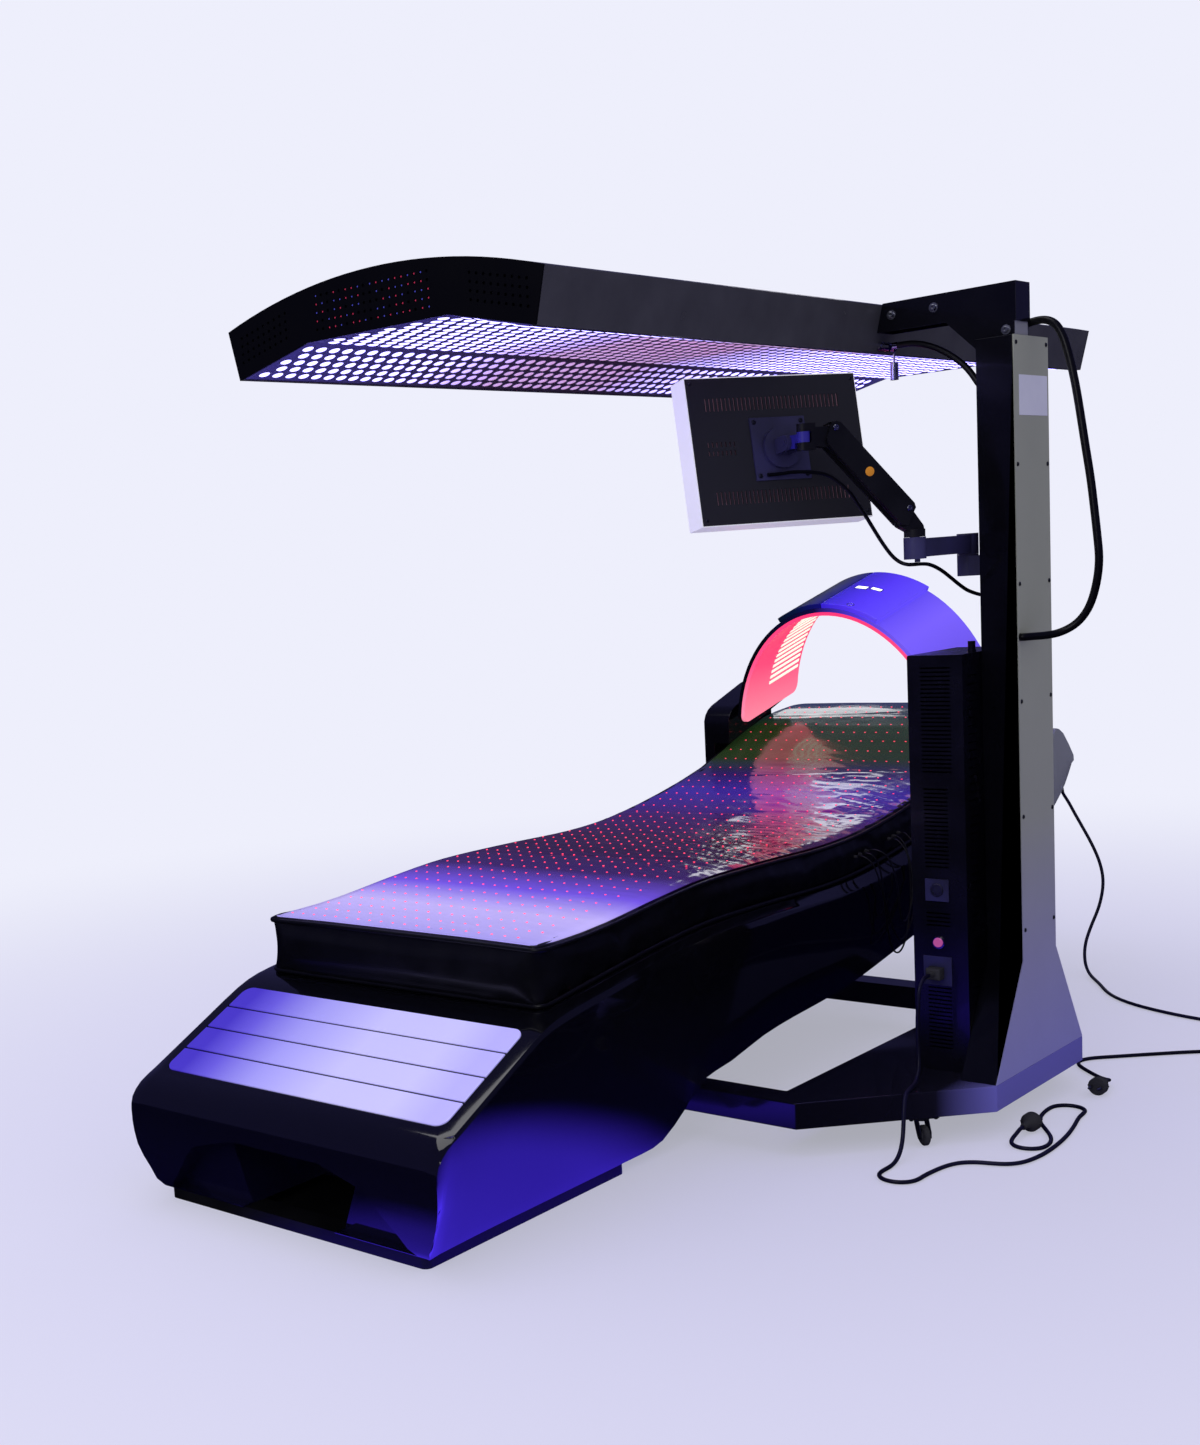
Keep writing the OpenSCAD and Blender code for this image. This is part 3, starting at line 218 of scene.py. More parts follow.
def block(name: str, low: Point, high: Point, round_by: float = 0.0, segments: int = 2) -> Object:
    """A box between two corners.

    Args:
        name: The piece's name.
        low: Lowest corner.
        high: Highest corner.
        round_by: Width of the rounding on its edges, in metres.
        segments: Faces across a rounding.
    """
    deselect()
    centre = [(a + b) / 2 for a, b in zip(low, high)]
    bpy.ops.mesh.primitive_cube_add(size=1.0, location=centre)
    bpy.context.view_layer.objects.active.scale = [b - a for a, b in zip(low, high)]
    made = keep_as(name)
    if round_by:
        ease(made, round_by, segments)
    return made


def recess(obj: Object, towards: Point, rim: float, shift: Point) -> None:
    """Insets the faces that look one way and moves what is inside.

    Args:
        obj: The mesh.
        towards: Where the faces look.
        rim: Width left round them.
        shift: How far the inner face moves.
    """
    take(obj)
    mesh, way = obj.data, Vector(towards)
    for group in (mesh.vertices, mesh.edges):
        group.foreach_set("select", [False] * len(group))
    mesh.polygons.foreach_set("select", [face.normal.dot(way) > ALONG for face in mesh.polygons])
    with editing(obj, everything=False):
        bpy.ops.mesh.inset(thickness=rim, depth=0)
        bpy.ops.transform.translate(value=shift)


def turned(
    name: str,
    profile: Sequence[tuple[float, float]],
    start: Sequence[float] = (0, 0, 0),
    direction: Sequence[float] = (0, 0, 1),
    sides: int = 36,
) -> Object:
    """A lathe-turned piece, spun from a profile.

    Args:
        name: The piece's name.
        profile: Distance along the axis and radius in millimetres, from end to end.
        start: Where the axis starts, in metres.
        direction: The axis.
        sides: Faces around it.
    """
    deselect()
    mesh = bpy.data.meshes.new(name)
    ring = [(r * MM, 0.0, z * MM) for z, r in profile]
    points = [(0.0, 0.0, ring[0][2]), *ring, (0.0, 0.0, ring[-1][2])]
    mesh.from_pydata(points, [(i, i + 1) for i in range(len(points) - 1)], [])
    obj = linked(name, mesh)
    with editing(obj, Pick.VERTS):
        bpy.ops.mesh.spin(steps=sides, angle=math.tau, center=(0, 0, 0), axis=(0, 0, 1))
        bpy.ops.mesh.select_all(action="SELECT")
        bpy.ops.mesh.remove_doubles(threshold=SPIN_WELD)
        bpy.ops.mesh.normals_make_consistent(inside=False)
    obj.matrix_world = Matrix.Translation(start) @ facing(direction)
    settle(obj)
    return obj


def again(obj: Object, name: str, move: Matrix) -> Object:
    """A copy with its own mesh, moved.

    Args:
        obj: What is copied.
        name: The copy's name.
        move: Where it goes from the first one's place.
    """
    made = linked(name, obj.data.copy())
    made.data.transform(move)
    return made


def joined(name: str, objs: Sequence[Object]) -> Object:
    """Joins objects into one piece.

    Args:
        name: The piece's name.
        objs: What is joined; all but the first are used up.
    """
    take(*objs)
    bpy.ops.object.join()
    made = bpy.context.view_layer.objects.active
    made.name = name
    made.data.name = name
    return made


def rows_of(one: Object, name: str, moves: Iterable[Matrix], angle: float = 60.0) -> Object:
    """Copies of one piece as a single piece; the first is used up.

    Args:
        one: What is repeated.
        name: The piece's name.
        moves: Where each copy goes.
        angle: Shading stays smooth up to this, in degrees.
    """
    made = joined(name, [again(one, f"{name}_part", move) for move in moves])
    bpy.data.objects.remove(one)
    smooth(made, angle)
    return made


def copied(node: str, name: str, merge_flat: bool = False) -> Object:
    """A welded copy of a frame node.

    Args:
        node: The frame node.
        name: The copy's name.
        merge_flat: Joins the triangles of each flat face.
    """
    made = linked(name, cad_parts[node].data.copy())
    with editing(made):
        bpy.ops.mesh.customdata_custom_splitnormals_clear()
        bpy.ops.mesh.remove_doubles(threshold=WELD)
        if merge_flat:
            bpy.ops.mesh.dissolve_limited(angle_limit=math.radians(FLAT_DEGREES))
    return made


def cast(node: str, name: str, round_by: float = 0.0, angle: float = 35.0, segments: int = 2) -> Object:
    """A welded and eased copy of a frame node, which it will replace.

    Args:
        node: The frame node.
        name: The piece's name.
        round_by: Width of the rounding on its edges, in metres.
        angle: Edges sharper than this are rounded and stay sharp in shading.
        segments: Faces across a rounding.
    """
    made = copied(node, name, merge_flat=True)
    if round_by:
        ease(made, round_by, segments, angle)
    smooth(made, angle)
    if round_by:
        modify(made, "WEIGHTED_NORMAL", mode="FACE_AREA", weight=100, keep_sharp=True)
    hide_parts(node)
    return made


def deform(obj: Object, move: Callable[[Vector], Vector]) -> None:
    """Moves every vertex of a soft piece.

    Args:
        obj: The mesh.
        move: Gives a vertex its new place.
    """
    for vertex in obj.data.vertices:
        vertex.co = move(vertex.co.copy())
    obj.data.update()


def surface_of(obj: Object) -> BVHTree:
    """A search tree over a mesh that stands at the origin."""
    mesh = obj.data
    return BVHTree.FromPolygons([v.co for v in mesh.vertices], [p.vertices for p in mesh.polygons])


def spline(points: Sequence[Point], steps: int) -> list[Vector]:
    """A smooth line through points.

    Args:
        points: What the line passes through.
        steps: Parts between two points.
    """
    last = len(points) - 1
    ends = [Vector(p) for p in points]
    line = []
    for i in range(last):
        a, b, c, d = (ends[max(i - 1, 0)], ends[i], ends[i + 1], ends[min(i + 2, last)])
        for k in range(steps):
            t = k / steps
            line.append(
                0.5 * (2 * b + (c - a) * t + (2 * a - 5 * b + 4 * c - d) * t**2 + (3 * b - a - 3 * c + d) * t**3)
            )
    return line + [ends[last]]


def length_of(line: Sequence[Vector]) -> float:
    """Length of a line in metres."""
    return sum((b - a).length for a, b in zip(line, line[1:]))


def tube(
    name: str,
    line: Sequence[Vector],
    radius: float,
    closed: bool = False,
    to_mesh: bool = False,
    ring: int = 3,
) -> Object:
    """A round cable along a line.

    Args:
        name: The piece's name.
        line: Its centreline.
        radius: Its radius.
        closed: Joins its ends.
        to_mesh: Turns the curve into a mesh.
        ring: Fineness around it.
    """
    curve = bpy.data.curves.new(name, "CURVE")
    curve.dimensions = "3D"
    curve.bevel_depth = radius
    curve.bevel_resolution = ring
    curve.use_fill_caps = not closed
    run = curve.splines.new("POLY")
    run.points.add(len(line) - 1)
    for point, place_at in zip(run.points, line):
        point.co = (*place_at, 1.0)
    run.use_cyclic_u = closed
    run.use_smooth = True
    made = linked(name, curve)
    if to_mesh:
        take(made)
        bpy.ops.object.convert(target="MESH")
        made = bpy.context.view_layer.objects.active
        smooth(made, 60)
    return made


# Finishes


def linear(code: str, alpha: float = 1.0) -> tuple[float, float, float, float]:
    """An sRGB hex value as linear light.

    Args:
        code: Six hex digits.
        alpha: The fourth value.
    """
    parts = [int(code[i : i + 2], 16) / 255 for i in (0, 2, 4)]
    out = [p / 12.92 if p <= 0.04045 else ((p + 0.055) / 1.055) ** 2.4 for p in parts]
    return (*out, alpha)


def add(tree: Tree, kind: str, settings: dict | None = None, links: dict | None = None) -> Node:
    """Adds one node with its settings and links.

    Args:
        tree: The material's or world's nodes.
        kind: The node's type, without its common beginning.
        settings: Values of its properties or inputs.
        links: Output sockets that its inputs read.
    """
    made = tree.nodes.new(f"ShaderNode{kind}")
    for key, value in (settings or {}).items():
        if isinstance(key, int) or key in made.inputs:
            made.inputs[key].default_value = value
        else:
            setattr(made, key, value)
    for key, source in (links or {}).items():
        tree.links.new(source, made.inputs[key])
    return made


def ramp(tree: Tree, stops: Sequence[tuple[float, str]], source: Socket) -> Node:
    """A colour ramp.

    Args:
        tree: The nodes.
        stops: Place and hex colour of each stop.
        source: What it reads.
    """
    made = add(tree, "ValToRGB", links={"Fac": source})
    band = made.color_ramp
    while len(band.elements) < len(stops):
        band.elements.new(0.5)
    for element, (spot, code) in zip(band.elements, stops):
        element.position = spot
        element.color = linear(code)
    return made


def reach(tree: Tree, spot: Socket, axis: int, low: float, high: float) -> Socket:
    """How far along an axis a place lies, from 0 at low to 1 at high.

    Args:
        tree: The nodes.
        spot: The place, as a vector.
        axis: 0, 1 or 2 for X, Y or Z.
        low: Where it starts, in metres.
        high: Where it ends.
    """
    split = add(tree, "SeparateXYZ", links={"Vector": spot})
    share = add(tree, "MapRange", {"From Min": low, "From Max": high}, {"Value": split.outputs[axis]})
    return share.outputs["Result"]


def mixed(tree: Tree, share: Socket, first: Socket, second: Socket) -> Socket:
    """Two shaders mixed; a share of 1 shows the second."""
    return add(tree, "MixShader", links={0: share, 1: first, 2: second}).outputs[0]


@dataclass(frozen=True)
class Surface:
    """A material that is built once and then shared."""

    name: str

    def made(self) -> bpy.types.Material:
        """The material, built on its first use."""
        known = bpy.data.materials.get(self.name)
        if known is not None:
            return known
        material = bpy.data.materials.new(self.name)
        material.use_nodes = True
        tree = material.node_tree
        self.fill(tree, tree.nodes["Principled BSDF"])
        return material

    def fill(self, tree: Tree, shader: Node) -> None:
        """Adds the surface's own nodes."""
        raise NotImplementedError


@dataclass(frozen=True)
class Finish(Surface):
    """A surface with a grain in its relief and a slow mottle in its gloss.

    grain_mm is the width of a grain, relief_mm its height, mottle_mm the size
    of the slow patches, and uneven how far they move the roughness.
    """

    colour: str
    roughness: float
    second: str = ""
    metallic: float = 0.0
    coat: float = 0.0
    specular: float = 0.5
    grain_mm: float = 2.0
    relief_mm: float = 0.02
    mottle_mm: float = 90.0
    uneven: float = 0.05
    stretch: Point = (1.0, 1.0, 1.0)

    def fill(self, tree: Tree, shader: Node) -> None:
        """Base values, then grain and tint."""
        for key, value in (
            ("Base Color", linear(self.colour)),
            ("Roughness", self.roughness),
            ("Metallic", self.metallic),
            ("Specular IOR Level", self.specular),
            ("Coat Weight", self.coat),
            ("Coat Roughness", 0.04),
        ):
            shader.inputs[key].default_value = value
        spot = add(tree, "TexCoord").outputs["Object"]
        self.grain(tree, shader, spot)
        self.tint(tree, shader, spot)

    def grain(self, tree: Tree, shader: Node, spot: Socket) -> None:
        """Relief and gloss."""
        scaled = add(tree, "Mapping", {"Scale": self.stretch}, {"Vector": spot}).outputs["Vector"]
        fine = add(tree, "TexNoise", {"Scale": 1000 / self.grain_mm, "Detail": 3.0}, {"Vector": scaled})
        bump = add(tree, "Bump", {"Distance": self.relief_mm * MM, "Strength": 1.0}, {"Height": fine.outputs["Fac"]})
        tree.links.new(bump.outputs["Normal"], shader.inputs["Normal"])
        slow = add(tree, "TexNoise", {"Scale": 1000 / self.mottle_mm, "Detail": 4.0}, {"Vector": scaled})
        span = {"From Min": 0.3, "From Max": 0.7}
        span["To Min"] = max(0.02, self.roughness - self.uneven)
        span["To Max"] = self.roughness + self.uneven
        gloss = add(tree, "MapRange", span, {"Value": slow.outputs["Fac"]})
        tree.links.new(gloss.outputs["Result"], shader.inputs["Roughness"])

    def tint(self, tree: Tree, shader: Node, spot: Socket) -> None:
        """Slow change of colour towards the second colour."""
        if not self.second:
            return
        slow = add(tree, "TexNoise", {"Scale": 1000 / self.mottle_mm, "Detail": 5.0}, {"Vector": spot})
        tones = ramp(tree, [(0.35, self.colour), (0.7, self.second)], slow.outputs["Fac"])
        tree.links.new(tones.outputs["Color"], shader.inputs["Base Color"])


@dataclass(frozen=True)
class Graded(Finish):
    """A finish whose colour runs along one axis between stops in metres."""

    axis: int = 1
    stops: tuple[tuple[float, str], ...] = ()
    glow: float = 0.0

    def tint(self, tree: Tree, shader: Node, spot: Socket) -> None:
        """Colour by place, and a faint glow of the same colour where set."""
        low, high = self.stops[0][0], self.stops[-1][0]
        shares = [((p - low) / (high - low), code) for p, code in self.stops]
        tones = ramp(tree, shares, reach(tree, spot, self.axis, low, high))
        tree.links.new(tones.outputs["Color"], shader.inputs["Base Color"])
        if self.glow:
            tree.links.new(tones.outputs["Color"], shader.inputs["Emission Color"])
            shader.inputs["Emission Strength"].default_value = self.glow


@dataclass(frozen=True)
class EndPaintedLight(Graded):
    """A graded lacquer with painted light: a pale patch on its side near the head end."""

    # Colour of the painted light patch.
    pale: str = "8E9194"
    side: tuple[float, float] = (0.30, 0.37)
    end: tuple[float, float] = (2.03, 2.10)

    def tint(self, tree: Tree, shader: Node, spot: Socket) -> None:
        """The graded colour, mixed with the painted light of the pale one where side and end meet."""
        super().tint(tree, shader, spot)
        near = [reach(tree, spot, axis, *span) for axis, span in ((0, self.side), (1, self.end))]
        both = add(tree, "Math", {"operation": "MULTIPLY"}, dict(enumerate(near)))
        under = shader.inputs["Base Color"].links[0].from_socket
        links = {"Fac": both.outputs["Value"], "Color1": under}
        blend = add(tree, "MixRGB", {"Color2": linear(self.pale)}, links)
        tree.links.new(blend.outputs["Color"], shader.inputs["Base Color"])


@dataclass(frozen=True)
class Lit(Surface):
    """A lens or lamp that shines: one colour, or a run of colours along Y.

    stops hold place in metres, red, green, blue as light, so a value over 1
    shows white in the picture and still throws its own colour.
    """

    stops: tuple[tuple[float, float, float, float], ...]
    body: str = "F0F0FF"

    def fill(self, tree: Tree, shader: Node) -> None:
        """The lens's body colour and its light."""
        top = max(max(stop[1:]) for stop in self.stops)
        lights = [(*[c / top for c in stop[1:]], 1.0) for stop in self.stops]
        shader.inputs["Base Color"].default_value = linear(self.body)
        shader.inputs["Roughness"].default_value = 0.15
        shader.inputs["Emission Strength"].default_value = top
        if len(lights) == 1:
            shader.inputs["Emission Color"].default_value = lights[0]
            return
        low, high = self.stops[0][0], self.stops[-1][0]
        spot = add(tree, "TexCoord").outputs["Object"]
        shares = [((stop[0] - low) / (high - low), "FFFFFF") for stop in self.stops]
        tones = ramp(tree, shares, reach(tree, spot, 1, low, high))
        for element, light in zip(tones.color_ramp.elements, lights):
            element.color = light
        tree.links.new(tones.outputs["Color"], shader.inputs["Emission Color"])


# Black leathercloth: a fine pebble pressed into vinyl gives a broken sheen.
BLACK_VINYL = Finish(
    "black_vinyl_leathercloth", "07070B", 0.36, "0B0B12", specular=0.35, grain_mm=2.2, relief_mm=0.10, uneven=0.08
)
# Stove-enamelled sheet: smooth, a little softer than lacquer.
BLACK_ENAMEL = Finish(
    "black_stove_enamel", "08080D", 0.16, "0C0C14", specular=0.35, coat=0.15, grain_mm=9, relief_mm=0.03, uneven=0.06
)
# Matt black moulding under the bed and inside.
MATT_BLACK = Finish("matt_black_moulding", "0A0A0C", 0.62, "121216", specular=0.3, grain_mm=1.6, relief_mm=0.05)
# Grey powder coat: fine orange peel that greys the light.
GREY_POWDER = Finish(
    "grey_powder_coat", "24252C", 0.45, "2A2B33", specular=0.4, grain_mm=1.8, relief_mm=0.08, uneven=0.08
)
# Folded sheet edge of the light panel: satin sheet whose brightness is painted light, lighter towards the top, with a
# painted glow.
SATIN_SHEET_PAINTED_GLOW = Graded(
    "satin_aluminium_sheet_painted_glow", "FBFBF8", 0.34, metallic=0.1, grain_mm=0.8, stretch=(1.0, 1.0, 0.05),
    axis=2, stops=((1.18, "F0F0F2"), (1.30, "FAFAF8"), (1.48, "FFFFFF")), glow=0.32,
)
CABLE_JACKET = Finish("black_cable_jacket", "09090D", 0.34, specular=0.4, grain_mm=1.5, relief_mm=0.03)
CORD_JACKET = Finish(
    "mains_cord_jacket", "0C0B1C", 0.38, "15123A", specular=0.4, grain_mm=1.5, relief_mm=0.03, mottle_mm=400
)
RUBBER = Finish("black_rubber", "0B0B0E", 0.58, "131318", specular=0.35, grain_mm=1.2, relief_mm=0.05)
ZINC = Finish("dark_zinc_plate", "4A4B52", 0.38, "5A5B62", metallic=0.9, grain_mm=1.4, relief_mm=0.03)
STEEL = Finish("turned_steel", "A9ABB3", 0.26, metallic=1.0, grain_mm=0.7)
CHROME = Finish("polished_chrome", "DCDDE4", 0.07, metallic=1.0, grain_mm=6, relief_mm=0.01, uneven=0.02)
ARM_PAINT = Finish("grey_hammer_paint", "2E2D48", 0.40, "3A3864", specular=0.45, grain_mm=1.6, relief_mm=0.06)
ARM_VIOLET = Finish("violet_lit_casting", "262280", 0.34, "3A33A8", coat=0.2, grain_mm=1.6, relief_mm=0.05)
ARM_BLACK = Finish("black_arm_cover", "101014", 0.42, "17171D", specular=0.4, grain_mm=1.4, relief_mm=0.05)
GLOSS_SHEET = Finish(
    "gloss_black_sheet", "18181A", 0.2, "131316", specular=0.4, coat=0.15, grain_mm=20, relief_mm=0.06, uneven=0.04
)
# Gloss black hood sheet; its base colour is greyed as a painted sheen.
HOOD_SHEET_PAINTED_SHEEN = Finish(
    "gloss_black_hood_sheet_painted_sheen", "48484C", 0.24, "404044",
    specular=0.4, coat=0.15, grain_mm=20, relief_mm=0.06, uneven=0.04,
)
SOCKET_PLASTIC = Finish("violet_grey_socket_plastic", "2B2A55", 0.45, "1C1B33", grain_mm=1.2)
BLANK_CARD = Finish("blank_white_card", "DDDFE6", 0.5, "D2D4DE", grain_mm=0.8, relief_mm=0.01)
AMBER_CAP = Finish("amber_cap", "F0A21E", 0.35, "E08A10", grain_mm=1.0, relief_mm=0.01)
# Black metal-flake lacquer of the dome, with painted light: black at the far side, painted violet light and a painted
# glow towards the stand's side, where the light falls.
DOME_LACQUER_PAINTED_LIGHT = Graded(
    "black_flake_lacquer_painted_violet_light", "1A1570", 0.18, coat=0.5, grain_mm=1.3, relief_mm=0.05, uneven=0.04,
    axis=0, glow=0.46,
    stops=(
        (-0.31, "050508"), (-0.18, "060710"), (-0.02, "140E40"), (0.10, "5A42DE"), (0.20, "8268FA"), (0.31, "6A54E4"),
    ),
)
# Top plate of the dome, with painted light: painted violet light and a painted glow towards the stand's side.
DOME_TOP_PAINTED_LIGHT = Graded(
    "dome_top_lacquer_painted_light", "0A2A60", 0.50, specular=0.04, grain_mm=8, uneven=0.03,
    axis=0, stops=((-0.14, "041824"), (-0.07, "0A1A44"), (0.0, "16127A")), glow=0.24,
)
# Touch glass with painted light: its violet brightening towards the stand's side and its glow are painted light.
TOUCH_GLASS_PAINTED_LIGHT = Graded(
    "touch_glass_painted_violet_light", "2A20C0", 0.06, specular=0.6, coat=0.8, grain_mm=20, relief_mm=0.03, uneven=0.02,
    axis=0, stops=((0.0, "3A24D0"), (0.08, "5A3CF0"), (0.15, "6850F4")), glow=0.5,
)
# Frosted acrylic lit from behind in pink.
PINK_DIFFUSER = Graded(
    "pink_frosted_acrylic", "FF7FA0", 0.4, specular=0.4, grain_mm=3, relief_mm=0.03,
    axis=2, stops=((0.70, "FF8FA6"), (0.85, "FF4F7E"), (1.0, "FF2F6A")), glow=0.75,
)
# Grey lens board with painted light: its tint follows the lenses' light along the canopy, violet at the ends and dim
# in the middle, with a faint painted glow.
LENS_BOARD_PAINTED_LIGHT = Graded(
    "grey_lens_board_painted_light", "6A6680", 0.55, metallic=0.1, specular=0.2, relief_mm=0.03,
    axis=1, glow=0.04,
    stops=((-0.16, "58509C"), (0.25, "50466C"), (0.5, "44384A"), (0.9, "44384A"), (1.15, "544A70"), (1.94, "625A9C")),
)
# Clear film over a dark carrier: the hue follows the light that each length of it throws back.
LIGHT_FILM = Graded(
    "clear_film_over_dark_carrier", "140E34", 0.15, coat=0.3,
    grain_mm=26, relief_mm=0.35, mottle_mm=240, uneven=0.06, axis=1, glow=0.42,
    stops=(
        (0.0, "B0A6F4"), (0.06, "C4B8FE"), (0.20, "D0C2FF"), (0.34, "7A5AE6"), (0.50, "3A1C60"), (0.72, "300C30"),
        (0.95, "34102E"), (1.20, "3E1A5C"), (1.42, "3C2894"), (1.56, "2E1F5C"), (1.66, "26381E"), (1.85, "223C1A"),
        (2.05, "24364C"),
    ),
)
# Gloss black gelcoat with painted light: a painted violet reflection of the floor low down, a faint painted glow, and
# a painted pale patch on the near side at the head end.
SHELL_LACQUER_PAINTED_LIGHT = EndPaintedLight(
    "gloss_black_gelcoat_painted_light", "060609", 0.07, coat=0.5, grain_mm=16, uneven=0.03, axis=2, glow=0.03,
    stops=((0.02, "0C0A24"), (0.16, "090818"), (0.32, "06060C"), (0.48, "050508"), (0.62, "050508")),
)
# Black enamel base with painted light: painted violet light on its end towards +X, and a faint painted glow.
BASE_ENAMEL_PAINTED_LIGHT = Graded(
    "black_enamel_base_painted_light", "0B0B14", 0.13, specular=0.4, coat=0.2, grain_mm=9, relief_mm=0.03, axis=0, glow=0.08,
    stops=((-0.2, "0A0914"), (0.5, "0B0A14"), (0.62, "0D0C17"), (0.74, "13121F"), (0.821, "6A66B4")),
)
CASE_ENAMEL = Finish(
    "black_case_enamel", "0A0A12", 0.24, "0E0D1C", specular=0.35, coat=0.1, grain_mm=3, relief_mm=0.05, uneven=0.06
)
LENS_COLLAR = Finish("grey_lens_collar", "6E6A88", 0.4, metallic=0.2, grain_mm=1.5)
PANEL_BOARD = Finish("rose_lens_board", "E2A9C6", 0.4)
# Aluminium treads, brushed along their length; their violet tint, darker on the far side, and their glow are painted
# light.
BRUSHED_SLAT_PAINTED_LIGHT = Graded(
    "brushed_aluminium_painted_violet_light", "B4B0F6", 0.36, metallic=0.45,
    grain_mm=1.1, relief_mm=0.03, mottle_mm=160, uneven=0.07, stretch=(0.03, 1.0, 1.0), axis=0, glow=0.5,
    stops=(
        (-0.31, "4A38C8"), (-0.24, "6E60E0"), (-0.12, "A8A2F6"), (0.05, "CCC8FE"), (0.22, "CCC8FE"), (0.31, "BAB4FA"),
    ),
)
CAP_SHEET = Finish(
    "satin_black_vent_sheet", "050507", 0.42, specular=0.2, grain_mm=3, relief_mm=0.04, uneven=0.06
)
# Grey powder coat of the column cover, with painted violet light towards the bottom.
COVER_POWDER_PAINTED_LIGHT = Graded(
    "grey_powder_coat_cover_painted_light", "A0A592", 0.42, specular=0.35, grain_mm=1.8, relief_mm=0.08, uneven=0.08, axis=2,
    stops=((0.10, "908ECA"), (0.34, "9594B2"), (0.60, "9C9F94"), (1.0, "A0A491"), (1.55, "A0A490")),
)
# The dome's cheeks: black lacquer on the far side, greyed by the bright floor on the near one.
CHEEK_LACQUER = Graded(
    "black_lacquer_cheek", "050508", 0.14, specular=0.35, coat=0.3, grain_mm=14, uneven=0.03,
    axis=0, stops=((-0.38, "050508"), (0.30, "07070A"), (0.345, "3C3D44"), (0.392, "686A70")), glow=0.12,
)
CANOPY_LENS = Lit(
    "blue_white_and_rose_lens",
    (
        (-0.16, 1.35, 1.25, 4.2), (0.20, 1.25, 1.1, 3.8), (0.36, 0.55, 0.38, 1.3), (0.48, 0.38, 0.17, 0.34),
        (0.85, 0.34, 0.15, 0.30), (0.98, 0.5, 0.4, 1.2), (1.25, 1.2, 1.05, 3.6), (1.94, 1.3, 1.15, 4.0),
    ),
)
SPARK_RED = Lit("red_indicator", ((0.0, 0.30, 0.02, 0.06),), "801828")
SPARK_BLUE = Lit("blue_indicator", ((0.0, 0.05, 0.05, 0.34),), "182060")
MAT_DIODE = Lit("red_diode", ((0.0, 1.6, 0.07, 0.16),), "FF4060")
DOME_DIODE = Lit("warm_white_diode", ((0.0, 0.74, 0.86, 0.66),), "F4FFF0")
PANEL_DIODE = Lit("rose_diode", ((0.0, 2.0, 0.35, 0.9),), "FFC0D8")
WINDOW_LIGHT = Lit("lit_display_window", ((0.0, 1.3, 1.35, 1.6),), "FFFFFF")
BUTTON_LIGHT = Lit("lit_button_cap", ((0.0, 0.30, 0.05, 0.20),), "804060")


def place(obj: Object, finish: Surface, body: str, slot: str = "", node: str = "") -> Object:
    """Dresses a piece and lets it ride on its body.

    Args:
        obj: The piece.
        finish: Its surface.
        body: The frame body that carries it.
        slot: The record's material slot; not used.
        node: The frame node that it replaces.
    """
    obj.data.materials.clear()
    obj.data.materials.append(finish.made())
    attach(obj, body)
    if node:
        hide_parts(node)
    log.info("%s rides on %s", obj.name, body)
    return obj


def paint(node: str, finish: Surface) -> None:
    """Gives a frame node its finish."""
    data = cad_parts[node].data
    data.materials.clear()
    data.materials.append(finish.made())


# Routes of the cords and cables, in metres, as in the part's source.
CTRL_PTS: tuple[Point, ...] = (
    (0.684, 0.785, 0.307), (0.684, 0.78, 0.307), (0.684, 0.775, 0.307), (0.684, 0.7667, 0.3059),
    (0.684, 0.759, 0.3027), (0.6838, 0.7524, 0.2976), (0.6835, 0.7473, 0.291), (0.683, 0.7441, 0.2833),
    (0.6824, 0.7425, 0.272), (0.6815, 0.7418, 0.25), (0.6804, 0.7413, 0.232), (0.68, 0.741, 0.212),
    (0.6802, 0.7406, 0.188), (0.6815, 0.7395, 0.166), (0.6842, 0.7338, 0.142), (0.6875, 0.7225, 0.1255),
    (0.6915, 0.7065, 0.1164), (0.696, 0.688, 0.1137), (0.7, 0.667, 0.1135), (0.7043, 0.645, 0.1135),
    (0.7084, 0.6294, 0.1106), (0.7116, 0.617, 0.1012), (0.7139, 0.6093, 0.0875), (0.716, 0.602, 0.062),
    (0.7188, 0.5915, 0.037), (0.7218, 0.575, 0.0182), (0.7246, 0.5535, 0.008), (0.7262, 0.5308, 0.0044),
    (0.7262, 0.509, 0.0044), (0.7263, 0.4905, 0.0044), (0.7312, 0.4723, 0.0044), (0.7446, 0.4589, 0.0044),
    (0.7628, 0.454, 0.0044), (0.7811, 0.4589, 0.0044), (0.7944, 0.4723, 0.0044), (0.7993, 0.4905, 0.0044),
    (0.7996, 0.512, 0.0044), (0.8026, 0.545, 0.0044), (0.809, 0.58, 0.0044), (0.822, 0.609, 0.0044),
    (0.845, 0.627, 0.0044), (0.872, 0.636, 0.0044), (0.896, 0.647, 0.0044), (0.913, 0.668, 0.0044),
    (0.922, 0.698, 0.0044), (0.927, 0.74, 0.0044), (0.926, 0.8, 0.0044), (0.92, 0.86, 0.0044),
    (0.909, 0.92, 0.0044), (0.898, 0.968, 0.0044), (0.8945, 1.003, 0.0044), (0.8901, 1.0195, 0.0044),
    (0.878, 1.0316, 0.0044), (0.8615, 1.036, 0.0044), (0.845, 1.0316, 0.0044), (0.8329, 1.0195, 0.0044),
    (0.8285, 1.003, 0.0044), (0.829, 0.973, 0.0044), (0.836, 0.935, 0.0044), (0.85, 0.903, 0.0044),
    (0.872, 0.872, 0.0044), (0.893, 0.842, 0.0044), (0.9055, 0.818, 0.0044),
    (0.912, 0.796, 0.0044), (0.913, 0.776, 0.0044),
    (0.9087, 0.76, 0.0044), (0.897, 0.7483, 0.0044), (0.881, 0.744, 0.0044), (0.865, 0.7483, 0.0046),
    (0.8533, 0.76, 0.0058), (0.849, 0.776, 0.0086), (0.8493, 0.789, 0.0124), (0.8498, 0.8006, 0.0162),
    (0.85, 0.807, 0.018), (0.85, 0.8123, 0.0185), (0.85, 0.8161, 0.0185), (0.85, 0.8199, 0.0185),
)
